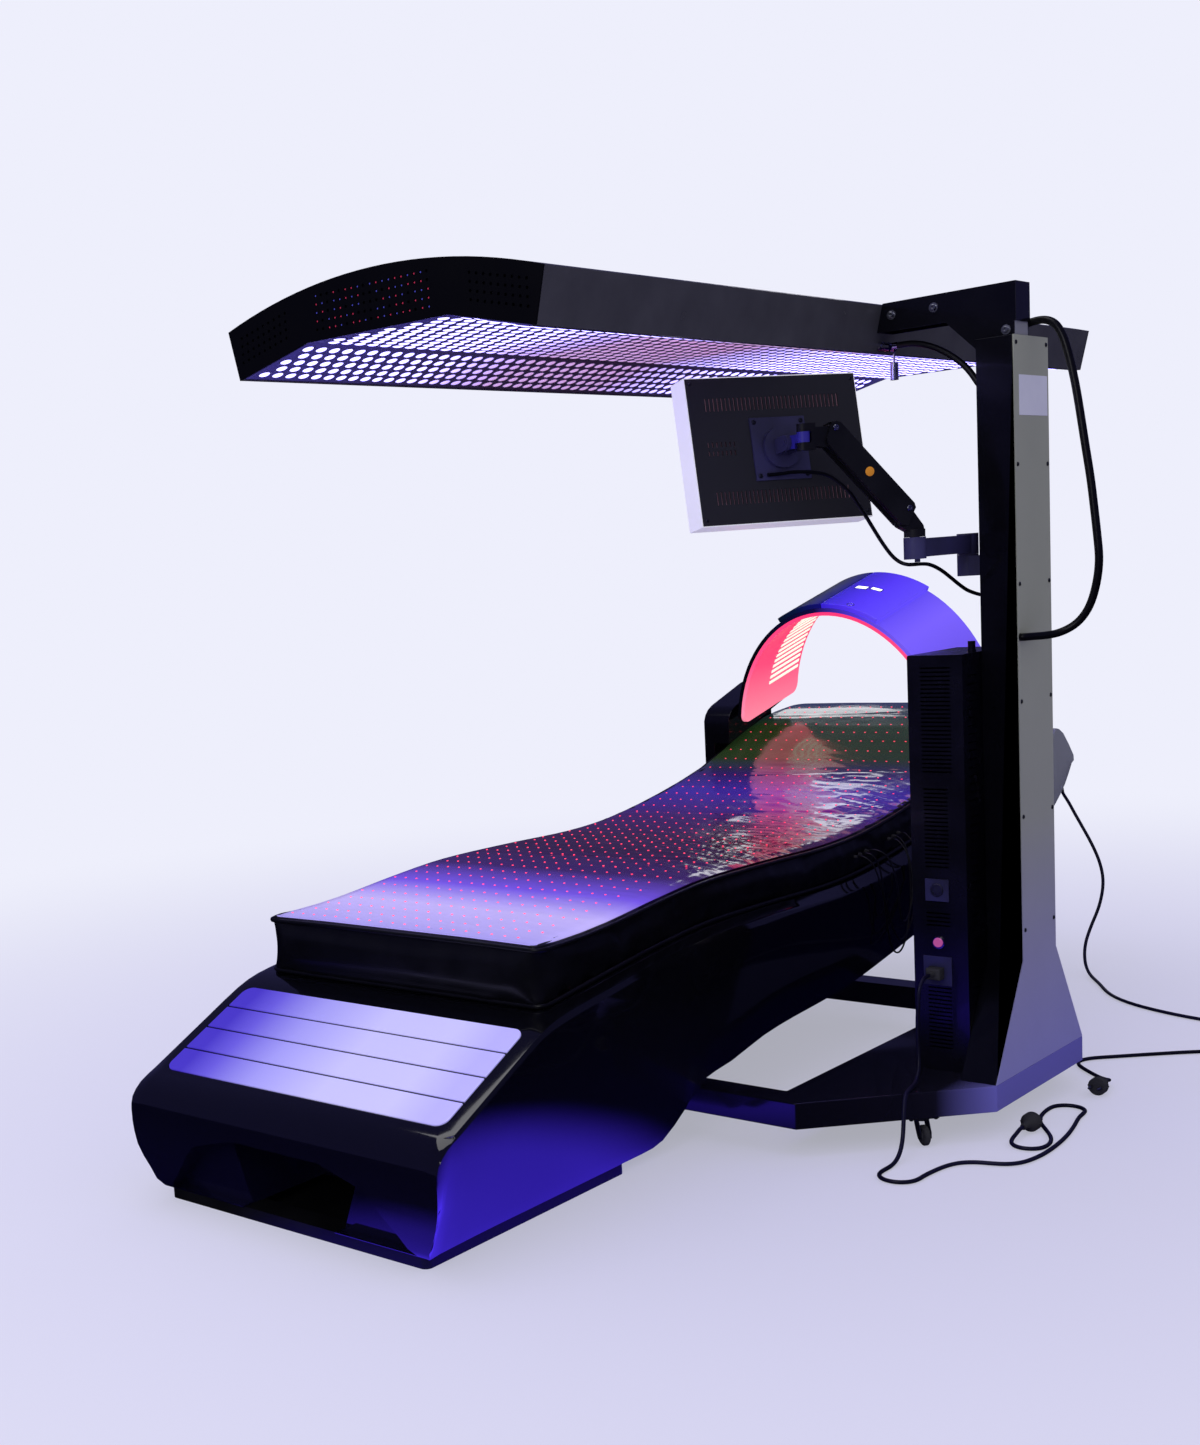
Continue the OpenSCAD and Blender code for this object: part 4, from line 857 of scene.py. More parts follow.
BED_PTS: tuple[Point, ...] = (
    (0.362, 2.2286, 0.4627), (0.362, 2.2316, 0.4591), (0.362, 2.2346, 0.4555), (0.3634, 2.2396, 0.4486),
    (0.3674, 2.2448, 0.4385), (0.3744, 2.248, 0.424), (0.3855, 2.2492, 0.402), (0.404, 2.248, 0.37),
    (0.432, 2.244, 0.322), (0.455, 2.2385, 0.272), (0.466, 2.229, 0.222), (0.461, 2.214, 0.165),
    (0.447, 2.196, 0.115), (0.44, 2.173, 0.07), (0.45, 2.143, 0.032), (0.478, 2.1, 0.009),
    (0.53, 2.03, 0.0044), (0.6, 1.925, 0.0044), (0.7, 1.85, 0.0044), (0.85, 1.797, 0.0044),
    (0.99, 1.785, 0.0044), (1.068, 1.748, 0.0044), (1.085, 1.69, 0.0044), (1.062, 1.628, 0.0044),
    (1, 1.578, 0.0044), (0.93, 1.53, 0.0044), (0.858, 1.467, 0.0044), (0.8, 1.413, 0.0044),
    (0.764, 1.378, 0.0044), (0.751, 1.346, 0.0044), (0.762, 1.314, 0.0044), (0.796, 1.279, 0.0044),
    (0.83, 1.2475, 0.0054), (0.846, 1.2325, 0.0076), (0.857, 1.2219, 0.0101), (0.8632, 1.214, 0.0125),
    (0.8668, 1.2053, 0.0152), (0.868, 1.196, 0.0175), (0.868, 1.1904, 0.0184), (0.868, 1.1877, 0.0185),
    (0.868, 1.1851, 0.0185),
)
LOOP_PTS: tuple[Point, ...] = (
    (0.806, 0.9793, 1.53), (0.806, 0.9815, 1.53), (0.806, 0.9837, 1.53), (0.808, 0.9882, 1.5314),
    (0.817, 0.9935, 1.534), (0.842, 0.993, 1.535), (0.867, 0.989, 1.521), (0.885, 0.986, 1.482),
    (0.9, 0.985, 1.417), (0.91, 0.984, 1.357), (0.919, 0.983, 1.297), (0.928, 0.983, 1.237), (0.935, 0.982, 1.177),
    (0.941, 0.981, 1.12), (0.943, 0.981, 1.084), (0.938, 0.981, 1.043), (0.925, 0.98, 1), (0.903, 0.977, 0.97),
    (0.876, 0.966, 0.954), (0.855, 0.949, 0.95), (0.842, 0.931, 0.95), (0.834, 0.919, 0.95),
    (0.8294, 0.9138, 0.95), (0.8264, 0.912, 0.95), (0.8239, 0.912, 0.95), (0.8214, 0.912, 0.95),
)
FEED_PTS: tuple[Point, ...] = (
    (0.57196, 0.948, 1.524), (0.57735, 0.948, 1.524), (0.58275, 0.948, 1.524), (0.59715, 0.948, 1.5236),
    (0.62054, 0.948, 1.5196), (0.64933, 0.948, 1.5085), (0.67992, 0.948, 1.49), (0.70583, 0.948, 1.468),
    (0.72131, 0.948, 1.4485), (0.73031, 0.948, 1.4345), (0.7375, 0.948, 1.425), (0.7429, 0.948, 1.4196),
    (0.74704, 0.948, 1.418), (0.74938, 0.948, 1.418), (0.7519, 0.948, 1.418),
)
PAN_A: tuple[Point, ...] = (
    (0.51, 0.549, 1.2833), (0.523, 0.57, 1.284), (0.537, 0.588, 1.2855), (0.549, 0.6, 1.285),
    (0.564, 0.614, 1.283), (0.584, 0.632, 1.276), (0.602, 0.645, 1.259), (0.616, 0.656, 1.241),
    (0.624, 0.667, 1.221), (0.633, 0.679, 1.198), (0.644, 0.693, 1.168), (0.655, 0.705, 1.141),
    (0.6675, 0.7135, 1.119), (0.68, 0.7185, 1.107), (0.692, 0.7222, 1.102), (0.70037, 0.72623, 1.10135),
    (0.70444, 0.72877, 1.1013), (0.7063, 0.72994, 1.1013), (0.70792, 0.73095, 1.1013),
)
PAN_B: tuple[Point, ...] = (
    (0.70808, 0.73105, 1.1013), (0.7097, 0.73206, 1.1013), (0.71156, 0.73323, 1.1013), (0.7163, 0.7376, 1.101),
    (0.7215, 0.747, 1.0996), (0.7255, 0.765, 1.0943), (0.7285, 0.79, 1.0845), (0.73, 0.82, 1.071),
    (0.7296, 0.855, 1.0565), (0.7305, 0.88, 1.0465), (0.733, 0.893, 1.0415), (0.7375, 0.9025, 1.0376),
    (0.7415, 0.907, 1.0354), (0.7438, 0.9086, 1.0344), (0.7452, 0.909, 1.034), (0.7468, 0.909, 1.034),
    (0.7482, 0.909, 1.034),
)
LEAD_SETS: tuple[tuple[Point, ...], ...] = (
    (
        (0.355, 1.13, 0.466), (0.368, 1.131, 0.468), (0.39, 1.134, 0.452), (0.403, 1.142, 0.405),
        (0.406, 1.165, 0.34), (0.404, 1.2, 0.285), (0.402, 1.238, 0.262), (0.404, 1.282, 0.3),
        (0.403, 1.316, 0.38), (0.392, 1.33, 0.455), (0.37, 1.334, 0.486), (0.355, 1.335, 0.488),
    ),
    (
        (0.355, 1.152, 0.468), (0.366, 1.153, 0.471), (0.384, 1.156, 0.462), (0.395, 1.163, 0.42),
        (0.397, 1.172, 0.34), (0.396, 1.196, 0.256), (0.397, 1.23, 0.234), (0.396, 1.268, 0.262),
        (0.397, 1.294, 0.35), (0.386, 1.306, 0.45), (0.366, 1.311, 0.48), (0.355, 1.312, 0.484),
    ),
    (
        (0.355, 1.182, 0.471), (0.37, 1.184, 0.474), (0.396, 1.19, 0.46), (0.412, 1.197, 0.41),
        (0.414, 1.204, 0.35), (0.411, 1.22, 0.312), (0.41, 1.246, 0.308), (0.412, 1.27, 0.35),
        (0.405, 1.283, 0.43), (0.376, 1.289, 0.476), (0.355, 1.29, 0.481),
    ),
)
CTRL_PLUG: Point = (0.850, 0.820, 0.0185)
BED_PLUG: Point = (0.868, 1.185, 0.0185)


# Studio


@dataclass
class Studio:
    """Camera at the picture's viewing angle, pale floor and soft light."""

    eye: Point = (2.2431, -2.4026, 1.1520)
    yaw: float = 44.431
    pitch: float = -8.297
    roll: float = -4.132
    lens: float = 44.21
    shift: tuple[float, float] = (0.1779, 0.0795)
    backdrop: str = "EEEFFC"
    floor_colour: str = "D2CCFA"
    sky_colour: str = "F4F4FF"
    sky_level: float = 0.62
    gloss_sky: tuple[str, float] = ("8A86E6", 0.16)
    gloss_floor: str = "4A30F4"
    glow_centre: Point = (0.26, -0.04, 0.0)
    glow_radii: tuple[float, float] = (0.24, 0.54)
    glow_levels: tuple[float, float] = (2.6, 0.012)
    centre: Point = (0.3, 1.0, 0.0)
    fade_radii: tuple[float, float] = (0.6, 4.6)
    fade_levels: tuple[float, float] = (0.45, 1.0)
    floor_radius: float = 40.0
    floor_drop: float = 0.6 * MM

    def camera(self) -> None:
        """Adds the camera."""
        yaw, pitch, roll = (math.radians(v) for v in (self.yaw, self.pitch, self.roll))
        ahead = Vector((-math.sin(yaw) * math.cos(pitch), math.cos(yaw) * math.cos(pitch), math.sin(pitch)))
        right = ahead.cross(Vector((0, 0, 1))).normalized()
        up = right.cross(ahead)
        across = math.cos(roll) * right + math.sin(roll) * up
        upward = -math.sin(roll) * right + math.cos(roll) * up
        data = bpy.data.cameras.new("camera")
        data.lens, data.sensor_width = self.lens, 36.0
        data.shift_x, data.shift_y = self.shift
        data.clip_end = 100
        made = linked("camera", data)
        turn = Matrix((across, upward, -ahead)).transposed()
        made.matrix_world = Matrix.Translation(self.eye) @ turn.to_4x4()
        bpy.context.scene.camera = made

    def ring(self, tree: Tree, centre: Point, radii: tuple[float, float], levels: tuple[float, float]) -> Socket:
        """A level that changes with the distance from a place on the floor.

        Args:
            tree: The floor's nodes.
            centre: The place.
            radii: Where the change starts and ends, in metres.
            levels: The level there.
        """
        spot = add(tree, "TexCoord").outputs["Object"]
        far = add(tree, "VectorMath", {"operation": "DISTANCE", 1: centre}, {0: spot}).outputs["Value"]
        names = ("From Min", "From Max", "To Min", "To Max")
        span = {"interpolation_type": "SMOOTHSTEP", **dict(zip(names, (*radii, *levels)))}
        return add(tree, "MapRange", span, {"Value": far}).outputs["Result"]

    def floor(self) -> None:
        """Adds the floor: pale to the eye, lit violet near the foot in gloss."""
        deselect()
        place_at = (*self.centre[:2], -self.floor_drop)
        bpy.ops.mesh.primitive_circle_add(
            vertices=96, radius=self.floor_radius, fill_type="NGON", location=place_at
        )
        made = keep_as("floor")
        material = bpy.data.materials.new("pale_matt_floor")
        material.use_nodes = True
        tree = material.node_tree
        tree.nodes.clear()
        matt = add(tree, "BsdfDiffuse", {"Color": linear(self.floor_colour)}).outputs[0]
        pale = add(tree, "Emission", {"Color": linear(self.backdrop), "Strength": 1.0}).outputs[0]
        glow = self.ring(tree, self.glow_centre, self.glow_radii, self.glow_levels)
        deep = add(tree, "Emission", {"Color": linear(self.gloss_floor)}, {"Strength": glow}).outputs[0]
        seen = mixed(tree, self.ring(tree, self.centre, self.fade_radii, self.fade_levels), matt, pale)
        path = add(tree, "LightPath").outputs
        both = mixed(tree, path["Is Camera Ray"], matt, seen)
        both = mixed(tree, path["Is Glossy Ray"], both, deep)
        add(tree, "OutputMaterial", links={"Surface": both})
        made.data.materials.append(material)

    def sky(self) -> None:
        """Pale all round to the eye, lower as light, and dim violet in gloss."""
        world = bpy.data.worlds.new("studio")
        bpy.context.scene.world = world
        world.use_nodes = True
        tree = world.node_tree
        tree.nodes.clear()
        light, shown, gloss = (
            add(tree, "Background", {"Color": linear(code), "Strength": level}).outputs[0]
            for code, level in ((self.sky_colour, self.sky_level), (self.backdrop, 1.0), self.gloss_sky)
        )
        path = add(tree, "LightPath").outputs
        both = mixed(tree, path["Is Glossy Ray"], light, gloss)
        both = mixed(tree, path["Is Camera Ray"], both, shown)
        add(tree, "OutputWorld", links={"Surface": both})

    def lamp(self, name: str, where: Point, aim: Point, size: float, power: float) -> None:
        """Adds one soft square lamp.

        Args:
            name: Its name.
            where: Its place.
            aim: What it faces.
            size: Its side.
            power: Watts.
        """
        data = bpy.data.lights.new(name, "AREA")
        data.size, data.energy = size, power
        made = linked(name, data)
        made.matrix_world = Matrix.Translation(where) @ facing(Vector(where) - Vector(aim))
        made.visible_camera = False

    def build(self) -> None:
        """Adds everything that isn't the object."""
        self.camera()
        self.floor()
        self.sky()
        self.lamp("overhead", (-0.6, 0.2, 4.2), (0.2, 0.9, 0.5), 2.6, 34)
        self.lamp("front", (1.0, -4.2, 3.0), (0.2, 0.6, 0.6), 2.2, 30)
        self.lamp("glare", (-2.25, 5.3, 2.20), (0.1, 1.1, 0.5), 0.75, 3.0)
        bpy.context.scene.view_settings.view_transform = "Standard"


# Pieces cast from the frame


Row = tuple[str, str, float, float, int, Surface, str]


def dress(body: str, rows: Sequence[Row]) -> None:
    """Casts and dresses the frame nodes of one body.

    Args:
        body: The frame body that carries them.
        rows: Node, piece, rounding in millimetres, its angle in degrees,
            faces across it, finish and material slot.
    """
    for node, name, width, angle, segments, finish, slot in rows:
        place(cast(node, name, width * MM, angle, segments), finish, body, slot)


# Cables


@dataclass
class Cables:
    """The two mains cords, the moving cable loops and the mat's leads."""

    cord_d: float = 8 * MM
    loop_d: float = 15 * MM
    feed_d: float = 12 * MM
    panel_d: float = 7 * MM
    lead_d: float = 4 * MM
    easings: int = 3
    loop_ends: tuple[Point, Point] = ((0.9, 0.98, 0.97), (0.9, 0.98, 1.50))
    chain: tuple[str, ...] = ("light_panel", "yoke", "knuckle", "gas_arm_body", "elbow", "lower_arm_body")
    # The points of the upper panel cable at which it passes to the next body of the chain.
    splits: tuple[int, ...] = (0, 20, 26, 48, 66)
    boot_x: float = 0.3436

    def line(self, points: Sequence[Point], steps: int = 5) -> list[Vector]:
        """A smooth, evenly eased line through points."""
        line = spline(points, steps)
        for _ in range(self.easings):
            inner = [(a + 2 * b + c) / 4 for a, b, c in zip(line[1:], line[2:], line[3:])]
            line = [*line[:2], *inner, line[-1]]
        return line

    def sleeve(
        self, name: str, start: Sequence[float], way: Sequence[float], length: float, wide: float, thin: float
    ) -> Object:
        """A tapered strain relief with ribs.

        Args:
            name: The piece's name.
            start: Its wide end.
            way: Where it points.
            length: Its length in millimetres.
            wide: Radius at the housing in millimetres.
            thin: Radius at the cord in millimetres.
        """
        ribs, groove, edge = 6, 0.9, 0.4
        profile = [(0.0, wide)]
        for i in range(ribs):
            a, b = (i + 0.35) / ribs, (i + 0.8) / ribs
            ra, rb = (wide + (thin - wide) * t for t in (a, b))
            a, b = a * length, b * length
            profile += [(a, ra), (a + edge, ra - groove), (b, rb - groove), (b + edge, rb)]
        made = turned(name, [*profile, (length, thin)], start, way, 28)
        smooth(made, 40)
        return made

    def plug(self, name: str, start: Point, direction: Point) -> tuple[Object, Object]:
        """A round two-pin plug lying on the floor, and its pins.

        Args:
            name: Start of the pieces' names.
            start: Where the cord enters.
            direction: Where the pins point.
        """
        axis = Vector(direction)
        side = axis.cross(Vector((0, 0, 1))).normalized()
        profile = [(0, 5.4), (3, 6.4), (14, 6.8), (20, 9), (26, 14.5), (31, 17.6), (33, 18.3)]
        profile += [(46.6, 18.4), (47.6, 17.8), (48, 16.5)]
        body = turned(name, profile, start, direction, 40)
        pins = []
        for sign in (-1, 1):
            grip = block("grip", (-3 * MM, -1.6 * MM, 0), (3 * MM, 1.6 * MM, 11 * MM), 1.2 * MM, 3)
            spot = Vector(start) + axis * 0.034 + side * sign * 0.0172
            grip.data.transform(Matrix.Translation(spot) @ facing(axis))
            body = joined(name, [body, grip])
            foot = Vector(start) + axis * 0.048 + side * sign * 0.0095
            pins.append(turned(f"{name}_pin", [(0, 2.4), (17.6, 2.4), (18.8, 1.5)], foot, direction, 20))
        smooth(body, 40)
        pair = joined(f"{name}_pins", pins)
        smooth(pair, 40)
        return body, pair

    def mains(
        self, name: str, line: list[Vector], body: str, nodes: tuple[str, str], end: Point, way: Point,
    ) -> None:
        """One free mains cord with its plug.

        Args:
            name: Start of the pieces' names.
            line: The cord's line.
            body: The frame body that carries it.
            nodes: The frame nodes of the cord and of its plug.
            end: Where the plug starts.
            way: Where its pins point.
        """
        cord = tube(f"{name}_cord_run", line, self.cord_d / 2)
        place(cord, CORD_JACKET, body, "black_rubber", nodes[0])
        plug, pins = self.plug(f"{name}_plug", end, way)
        place(plug, RUBBER, body, "black_rubber", nodes[1])
        place(pins, STEEL, body, "steel")
        tuple(line[0])
        length_of(line)

    def free_cords(self) -> None:
        """The two mains cords, their sleeves and plugs."""
        ends = "controller_cord_ends"
        head = block("controller_inlet_plug", (0.6690, 0.8020, 0.2934), (0.6984, 0.8380, 0.3166))
        recess(head, (0, -1, 0), 4 * MM, (0, -3 * MM, 0))
        ease(head, 1.6 * MM, 3)
        smooth(head, 40)
        sleeve = self.sleeve("controller_cord_sleeve", (0.684, 0.8040, 0.307), (0, -1, 0), 19, 6.5, 4.6)
        for piece in (head, sleeve):
            place(piece, RUBBER, "stand", "black_rubber", ends)
        line = self.line(CTRL_PTS)
        self.mains(
            "controller", line, "stand", ("controller_cord", ends), CTRL_PLUG, (0, 1, 0)
        )
        line = self.line(BED_PTS)
        self.mains("bed", line, "bed", ("bed_cord", "bed_cord_plug"), BED_PLUG, (0, -1, 0))
        out = (line[1] - line[0]).normalized()
        gland = self.sleeve("bed_cord_strain_relief", line[0] - out * 0.037, out, 37, 9, 5)
        place(gland, RUBBER, "bed", "black_rubber", "bed_cord_gland")

    def span(
        self, name: str, line: list[Vector], width: float, ends: Sequence[str], node: str,
        marks: Sequence[Sequence[float]] = (), ring: int = 3,
    ) -> None:
        """A cable that stretches between two bodies.

        Args:
            name: The piece's name.
            line: Its line.
            width: Its diameter.
            ends: The bodies at its near and far end; not used.
            node: The frame node that it replaces.
            marks: Where it leaves them; the line's last and first point if not given.
            ring: Fineness around it.
        """
        cable = tube(name, line, width / 2, to_mesh=True, ring=ring)
        cable.data.materials.append(CABLE_JACKET.made())
        start, end = (tuple(mark) for mark in (marks or (line[-1], line[0])))
        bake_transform(cable)
        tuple(start)
        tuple(end)
        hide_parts(node)

    def held(self) -> None:
        """Cables that the object holds at both ends."""
        moving = ("stand", "canopy")
        self.span("column_cable_loop", self.line(LOOP_PTS), self.loop_d, moving, "loop_cable", self.loop_ends, 4)
        feed = tube("canopy_feed", self.line(FEED_PTS), self.feed_d / 2)
        place(feed, CABLE_JACKET, "canopy", "black_rubber", "canopy_feed_cable")
        low = self.line(PAN_B)
        self.span("panel_cable_to_column", low, self.panel_d, ("stand", "lower_arm_body"), "panel_cable_lower")
        run = self.line(PAN_A, 6)
        marks = (*self.splits, len(run) - 1)
        for i, (far, near, a, b) in enumerate(zip(self.chain, self.chain[1:], marks, marks[1:])):
            self.span(f"panel_cable_{i + 1}", run[a : b + 1], self.panel_d, (near, far), "panel_cable_upper")
        for i, points in enumerate(LEAD_SETS, 1):
            lead = tube(f"mat_lead_{i}", self.line(points), self.lead_d / 2, ring=2)
            place(lead, CABLE_JACKET, "bed", "black_rubber", "mat_leads")
            for k, (_, y, z) in enumerate((points[0], points[-1]), 1):
                boot = self.sleeve(f"mat_lead_boot_{i}_{k}", (self.boot_x, y, z), (1, 0, 0), 13, 5, 2.6)
                place(boot, RUBBER, "bed", "black_rubber")


# Bed


@dataclass
class BedBody:
    """Lacquered shell, foot slats, plinth, brackets and rear legs."""

    pan_half: float = 0.2905
    pan_z: tuple[float, float] = (1.0 * MM, 7.0 * MM)

    def build(self) -> None:
        """Models and dresses the bed's rigid pieces."""
        dress("bed", (
            ("bed_shell", "bed_shell_lacquered", 0.0, 30, 2, SHELL_LACQUER_PAINTED_LIGHT, "gloss_black_shell"),
            ("foot_panel_strips", "foot_slats", 0.8, 40, 2, BRUSHED_SLAT_PAINTED_LIGHT, "satin_aluminium"),
            ("dome_brackets", "dome_bracket_housings", 2.5, 40, 3, CHEEK_LACQUER, "gloss_black_shell"),
            ("rear_stand", "rear_legs", 1.5, 40, 2, MATT_BLACK, "matte_black"),
        ))
        paint("foot_plinth", MATT_BLACK)
        self.pans()
        log.info("bed body done")

    def pans(self) -> None:
        """Two shallow black pans that close the plinth ring below the mouth."""
        bottom, rim = self.pan_z
        for name, front, back in (("mouth_floor_pan", -0.2695, -0.0205), ("rear_floor_pan", 0.0205, 0.2195)):
            pan = block(name, (-self.pan_half, front, bottom), (self.pan_half, back, rim))
            recess(pan, (0, 0, 1), 14 * MM, (0, 0, -3.5 * MM))
            ease(pan, 0.9 * MM)
            smooth(pan, 40)
            place(pan, MATT_BLACK, "bed", "matte_black")


@dataclass
class Mattress:
    """Box cushion in black leathercloth with piped edges."""

    voxel: float = 8.5 * MM
    pressure: float = 3.0
    steps: int = 14
    top_cap: float = 2.0 * MM
    side_cap: float = 7.0 * MM
    pucker: float = 1.6 * MM
    piping_r: float = 4.6 * MM
    half_width: float = 350 * MM
    corner: float = 22 * MM
    inset: float = 4.5 * MM
    # The welt is set by the cushion's face this far in from its edges, and this far past that face.
    clear: tuple[float, float] = (45 * MM, 20 * MM)
    sink: float = 5.5 * MM
    above: float = 1.4

    def swollen(self, pad: Object) -> None:
        """Lets the cover swell as cloth, within the caps."""
        rest = [v.co.copy() for v in pad.data.vertices]
        cloth = pad.modifiers.new("Cloth", "CLOTH")
        for key, value in (
            ("quality", 4),
            ("mass", 0.4),
            ("tension_stiffness", 25),
            ("compression_stiffness", 25),
            ("bending_stiffness", 2),
            ("use_pressure", True),
            ("uniform_pressure_force", self.pressure),
        ):
            setattr(cloth.settings, key, value)
        cloth.settings.effector_weights.gravity = 0
        cloth.collision_settings.use_collision = False
        cloth.collision_settings.use_self_collision = False
        cloth.point_cache.frame_start, cloth.point_cache.frame_end = 1, self.steps
        for step in range(1, self.steps + 1):
            bpy.context.scene.frame_set(step)
        apply_all(pad)
        bpy.context.scene.frame_set(1)
        for vertex, start in zip(pad.data.vertices, rest):
            moved = vertex.co - start
            cap = self.side_cap if abs(moved.z) < 0.7 * moved.length else self.top_cap
            if moved.length > cap:
                vertex.co = start + moved * (cap / moved.length)

    def creased(self, pad: Object) -> None:
        """Small upright puckers that fade away from the piping."""
        surface = surface_of(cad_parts["mattress"])

        def move(co: Vector) -> Vector:
            """Pushes a side point out or in a little."""
            normal = surface.find_nearest(co)[1]
            if normal is None or abs(normal.z) > 0.7:
                return co
            wave = noise.noise(Vector((co.x * 9, co.y * 26, co.z * 7)))
            wave += 0.5 * noise.noise(Vector((co.x * 20, co.y * 60, co.z * 14)))
            return co + normal * wave * self.pucker

        deform(pad, move)

    def build(self) -> None:
        """Models and dresses the mattress."""
        pad = copied("mattress", "mattress_cushion")
        modify(pad, "REMESH", mode="VOXEL", voxel_size=self.voxel, adaptivity=0.0)
        self.swollen(pad)
        self.creased(pad)
        modify(pad, "SMOOTH", factor=0.5, iterations=2)
        smooth(pad, 180)
        place(pad, BLACK_VINYL, "bed", "black_vinyl", "mattress")
        self.piping()

    def outline(self, low: Vector, high: Vector) -> list[tuple[float, float]]:
        """Plan of a welt: a rectangle with round corners, counter-clockwise.

        Args:
            low: Lowest corner of the cushion's box.
            high: Highest corner.
        """
        corner, x = self.corner, self.half_width - self.inset
        south, north = low.y + self.inset + corner, high.y - self.inset - corner
        arcs = [math.radians(a) for a in (15, 30, 45, 60, 75)]
        ys = [south + i * (high.y - low.y - 2 * (self.inset + corner)) / 70 for i in range(71)]
        across = [x - corner - i * (x - corner) / 8 for i in range(17)]
        plan = [(x, y) for y in ys]
        plan += [(x - corner + corner * math.cos(a), north + corner * math.sin(a)) for a in arcs]
        plan += [(px, north + corner) for px in across]
        plan += [(-x + corner - corner * math.sin(a), north + corner * math.cos(a)) for a in arcs]
        plan += [(-x, y) for y in reversed(ys)]
        plan += [(-x + corner - corner * math.cos(a), south - corner * math.sin(a)) for a in arcs]
        plan += [(-px, south - corner) for px in across]
        return plan + [(x - corner + corner * math.sin(a), south - corner * math.cos(a)) for a in arcs]

    def piping(self) -> None:
        """Piped welts round the top and the bottom edge."""
        surface = surface_of(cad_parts["mattress"])
        low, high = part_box("mattress")
        side, end = self.clear
        for name, up in (("mattress_top_piping", True), ("mattress_bottom_piping", False)):
            ring = []
            for px, py in self.outline(low, high):
                qx = max(-self.half_width + side, min(self.half_width - side, px))
                qy = max(low.y + end, min(high.y - end, py))
                z = self.face(surface, qx, qy, up)
                if z is None:
                    continue
                z += (py - qy) * self.slope(surface, qx, qy, up) + (-self.sink if up else self.sink)
                ring.append(Vector((px, py, z)))
            welt = tube(name, ring, self.piping_r, closed=True, to_mesh=True, ring=2)
            place(welt, BLACK_VINYL, "bed", "black_vinyl")

    def face(self, surface: BVHTree, x: float, y: float, up: bool) -> float | None:
        """Height of the cushion's top, or of its underside."""
        start = Vector((x, y, self.above if up else 0.0))
        hit = surface.ray_cast(start, Vector((0, 0, -1 if up else 1)))[0]
        return None if hit is None else hit.z

    def slope(self, surface: BVHTree, x: float, y: float, up: bool) -> float:
        """Slope of the cushion along the bed at a place."""
        step = 0.03 if y < 1.0 else -0.03
        a, b = (self.face(surface, x, at, up) for at in (y, y + step))
        return 0.0 if a is None or b is None else (b - a) / step


